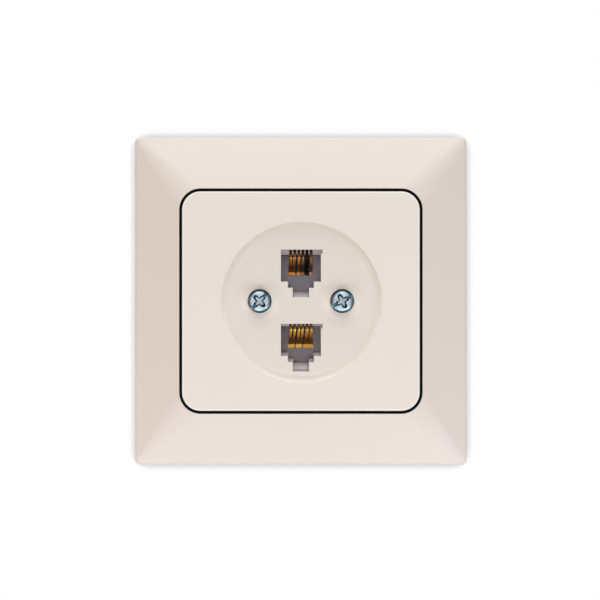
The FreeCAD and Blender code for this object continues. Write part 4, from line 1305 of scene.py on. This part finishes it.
@dataclass
class Studio:
    """Camera, lamps and surroundings.

    Attributes:
        camera_side: The camera's place along X.
        camera_height: Its place along Z.
        camera_distance: How far it stands in front of the face.
        front: The face's place along Y.
        view_width: How much of the face's plane the picture shows.
        ambient_front: The light from all round in front of the wall.
        ambient_rear: The light from all round behind it.
        seen_in_metal: How bright a white surrounding gloss and metal show.
        halo_reach: How far the contact shadow reaches.
        halo_depth: How dark it is at the frame.
        halo_span: The open shares of the sky at which it is darkest and gone.
        wall_margin: How far the wall reaches past the frame.
        wall_lead: How far it stands in front of the frame's rear rim.
        wall_inset: How far it reaches under the frame.
        lamps: The lights.
    """

    camera_side: float = -0.22 * MM
    camera_height: float = 0.27 * MM
    camera_distance: float = 300 * MM
    front: float = -9 * MM
    view_width: float = 148.7 * MM
    ambient_front: Colour = (0.109, 0.060, 0.043)
    ambient_rear: Colour = (0.75, 0.75, 0.75)
    seen_in_metal: float = 0.85
    halo_reach: float = 4.0 * MM
    halo_depth: float = 0.33
    halo_span: tuple[float, float] = (0.56, 0.81)
    wall_margin: float = 20 * MM
    wall_lead: float = 0.05 * MM
    wall_inset: float = 2 * MM
    lamps: tuple[Lamp, ...] = (
        Lamp("front_light", (0.0, -0.95, 0.02), 0.24, 0.24, (1.149, 1.127, 1.101), False),
        Lamp("top_light", (0.0, -0.13, 0.46), 0.6, 0.25, (1.21, 1.24, 1.252)),
        Lamp("steep_light", (0.0, -0.28, 0.40), 0.5, 0.2, (0.779, 0.857, 0.855)),
        Lamp("lower_light", (0.0, -0.28, -0.40), 0.5, 0.2, (0.758, 0.831, 0.827)),
        Lamp("left_light", (-0.20, -0.14, -0.20), 0.12, 0.12, (0.242, 0.230, 0.235)),
        Lamp("right_light", (0.20, -0.14, -0.20), 0.12, 0.12, (0.245, 0.273, 0.312)),
        Lamp("rear_light", (0.15, 0.55, 0.25), 0.5, 0.5, (1.5, 1.5, 1.5), False),
    )

    def build(self) -> None:
        """Sets up the whole studio."""
        self.camera()
        for lamp in self.lamps:
            self.lamp(lamp)
        self.world()
        self.wall()
        bpy.context.scene.view_settings.view_transform = "Standard"

    def camera(self) -> None:
        """The camera straight in front of the socket."""
        data = bpy.data.cameras.new("camera")
        data.sensor_width = 36
        data.lens = data.sensor_width * self.camera_distance / self.view_width
        data.clip_start = 0.01
        camera = add_object("camera", data)
        camera.location = (self.camera_side, self.front - self.camera_distance, self.camera_height)
        camera.rotation_euler = (math.pi / 2, 0, 0)
        bpy.context.scene.camera = camera

    def lamp(self, lamp: Lamp) -> None:
        """Adds one soft light that faces the socket.

        Args:
            lamp: The light.
        """
        data = bpy.data.lights.new(lamp.name, "AREA")
        data.shape = "RECTANGLE"
        data.size = lamp.width
        data.size_y = lamp.height
        data.energy = max(lamp.power)
        data.color = [part / data.energy for part in lamp.power]
        light = add_object(lamp.name, data)
        light.location = lamp.place
        light.visible_glossy = lamp.mirrored
        light.rotation_euler = (-Vector(lamp.place)).to_track_quat("-Z", "Y").to_euler()

    def world(self) -> None:
        """White to the camera, and a warm dusk in front of the socket that turns into daylight behind it."""
        graph = Graph(bpy.data.worlds.new("world"))
        path = graph.add("ShaderNodeLightPath")
        direction = graph.add("ShaderNodeTexCoord").outputs["Generated"]
        behind = graph.span(graph.axes(direction)[1], 0.0, 1.0, 0.0, 0.5)
        light = graph.blend(behind, self.ambient_front, self.ambient_rear)
        metal = self.seen_in_metal
        for ray, seen in (("Is Glossy Ray", metal), ("Is Transmission Ray", 1.0), ("Is Camera Ray", 1.0)):
            light = graph.blend(path.outputs[ray], light, (seen, seen, seen))
        bpy.context.scene.world = graph.close(graph.add("ShaderNodeBackground", Color=light))

    def wall(self) -> None:
        """A white wall round the frame with a soft contact shadow painted on from ambient occlusion, and that
        is clear from behind.
        """
        size = size_of("outer_frame")
        mesh = bmesh.new()
        bmesh.ops.create_grid(mesh, x_segments=1, y_segments=1, size=0.5)
        spread = Vector((size.x + 2 * self.wall_margin, size.z + 2 * self.wall_margin, 1))
        bmesh.ops.scale(mesh, vec=spread, verts=mesh.verts)
        upright(mesh, mesh.verts)
        bmesh.ops.translate(mesh, vec=(0, -self.wall_lead, 0), verts=mesh.verts)
        wall = mesh_object("wall", mesh)
        graph = Graph(bpy.data.materials.new("wall_paint"))
        open_sky = graph.add("ShaderNodeAmbientOcclusion", {"samples": 16}, Distance=self.halo_reach)
        level = graph.span(open_sky.outputs["AO"], 1 - self.halo_depth, 1.0, *self.halo_span)
        paint = graph.add("ShaderNodeEmission", Color=graph.grey(level))
        clear = graph.add("ShaderNodeBsdfTransparent")
        back = graph.add("ShaderNodeNewGeometry").outputs["Backfacing"]
        ray = graph.add("ShaderNodeLightPath").outputs["Is Camera Ray"]
        hidden = RoundedBox(size.x - 2 * self.wall_inset, size.z - 2 * self.wall_inset, 1 * MM)
        outside = graph.math("GREATER_THAN", graph.beyond(hidden), 0.0)
        share = graph.product(outside, ray, graph.math("SUBTRACT", 1.0, back))
        wall.data.materials.append(graph.close(graph.add(
            "ShaderNodeMixShader", _0=share, _1=clear.outputs[0], _2=paint.outputs[0])))


def main() -> None:
    """Dresses the socket and sets up the studio."""
    logging.basicConfig(level=logging.INFO, format="%(name)s %(message)s")
    painter = Painter()
    upper = (Spring(CONTACT_WORN, -0.33 * MM, 1.28), Spring(CONTACT_WORN, -0.46 * MM, 1.32),
             Spring(CONTACT_WORN, -0.16 * MM, 1.42), Spring(CONTACT_DULL, -0.21 * MM, 1.15),
             Spring(CONTACT_SHADED, -0.03 * MM, 1.75), Spring(CONTACT_WORN, -0.05 * MM, 0.95))
    lower = (Spring(CONTACT_GOLD, -0.37 * MM, 1.12), Spring(CONTACT_GOLD, -0.63 * MM, 1.12),
             Spring(CONTACT_GOLD, -0.47 * MM, 1.15), Spring(CONTACT_GOLD, -0.73 * MM, 1.15),
             Spring(CONTACT_BRASSY, -0.33 * MM, 1.95), Spring(CONTACT_BRASSY, -0.03 * MM, 1.95))
    assemblies = (
        Covers(painter),
        CoverScrew(painter, "left", 45.0),
        CoverScrew(painter, "right", 28.0),
        Carrier(painter),
        Jack(painter, "upper", upper),
        Jack(painter, "lower", lower, 0.75 * MM),
        Wiring(painter),
        BoardDetail(painter),
    )
    for assembly in assemblies:
        assembly.build()
    Studio().build()


if __name__ == "__main__":
    main()
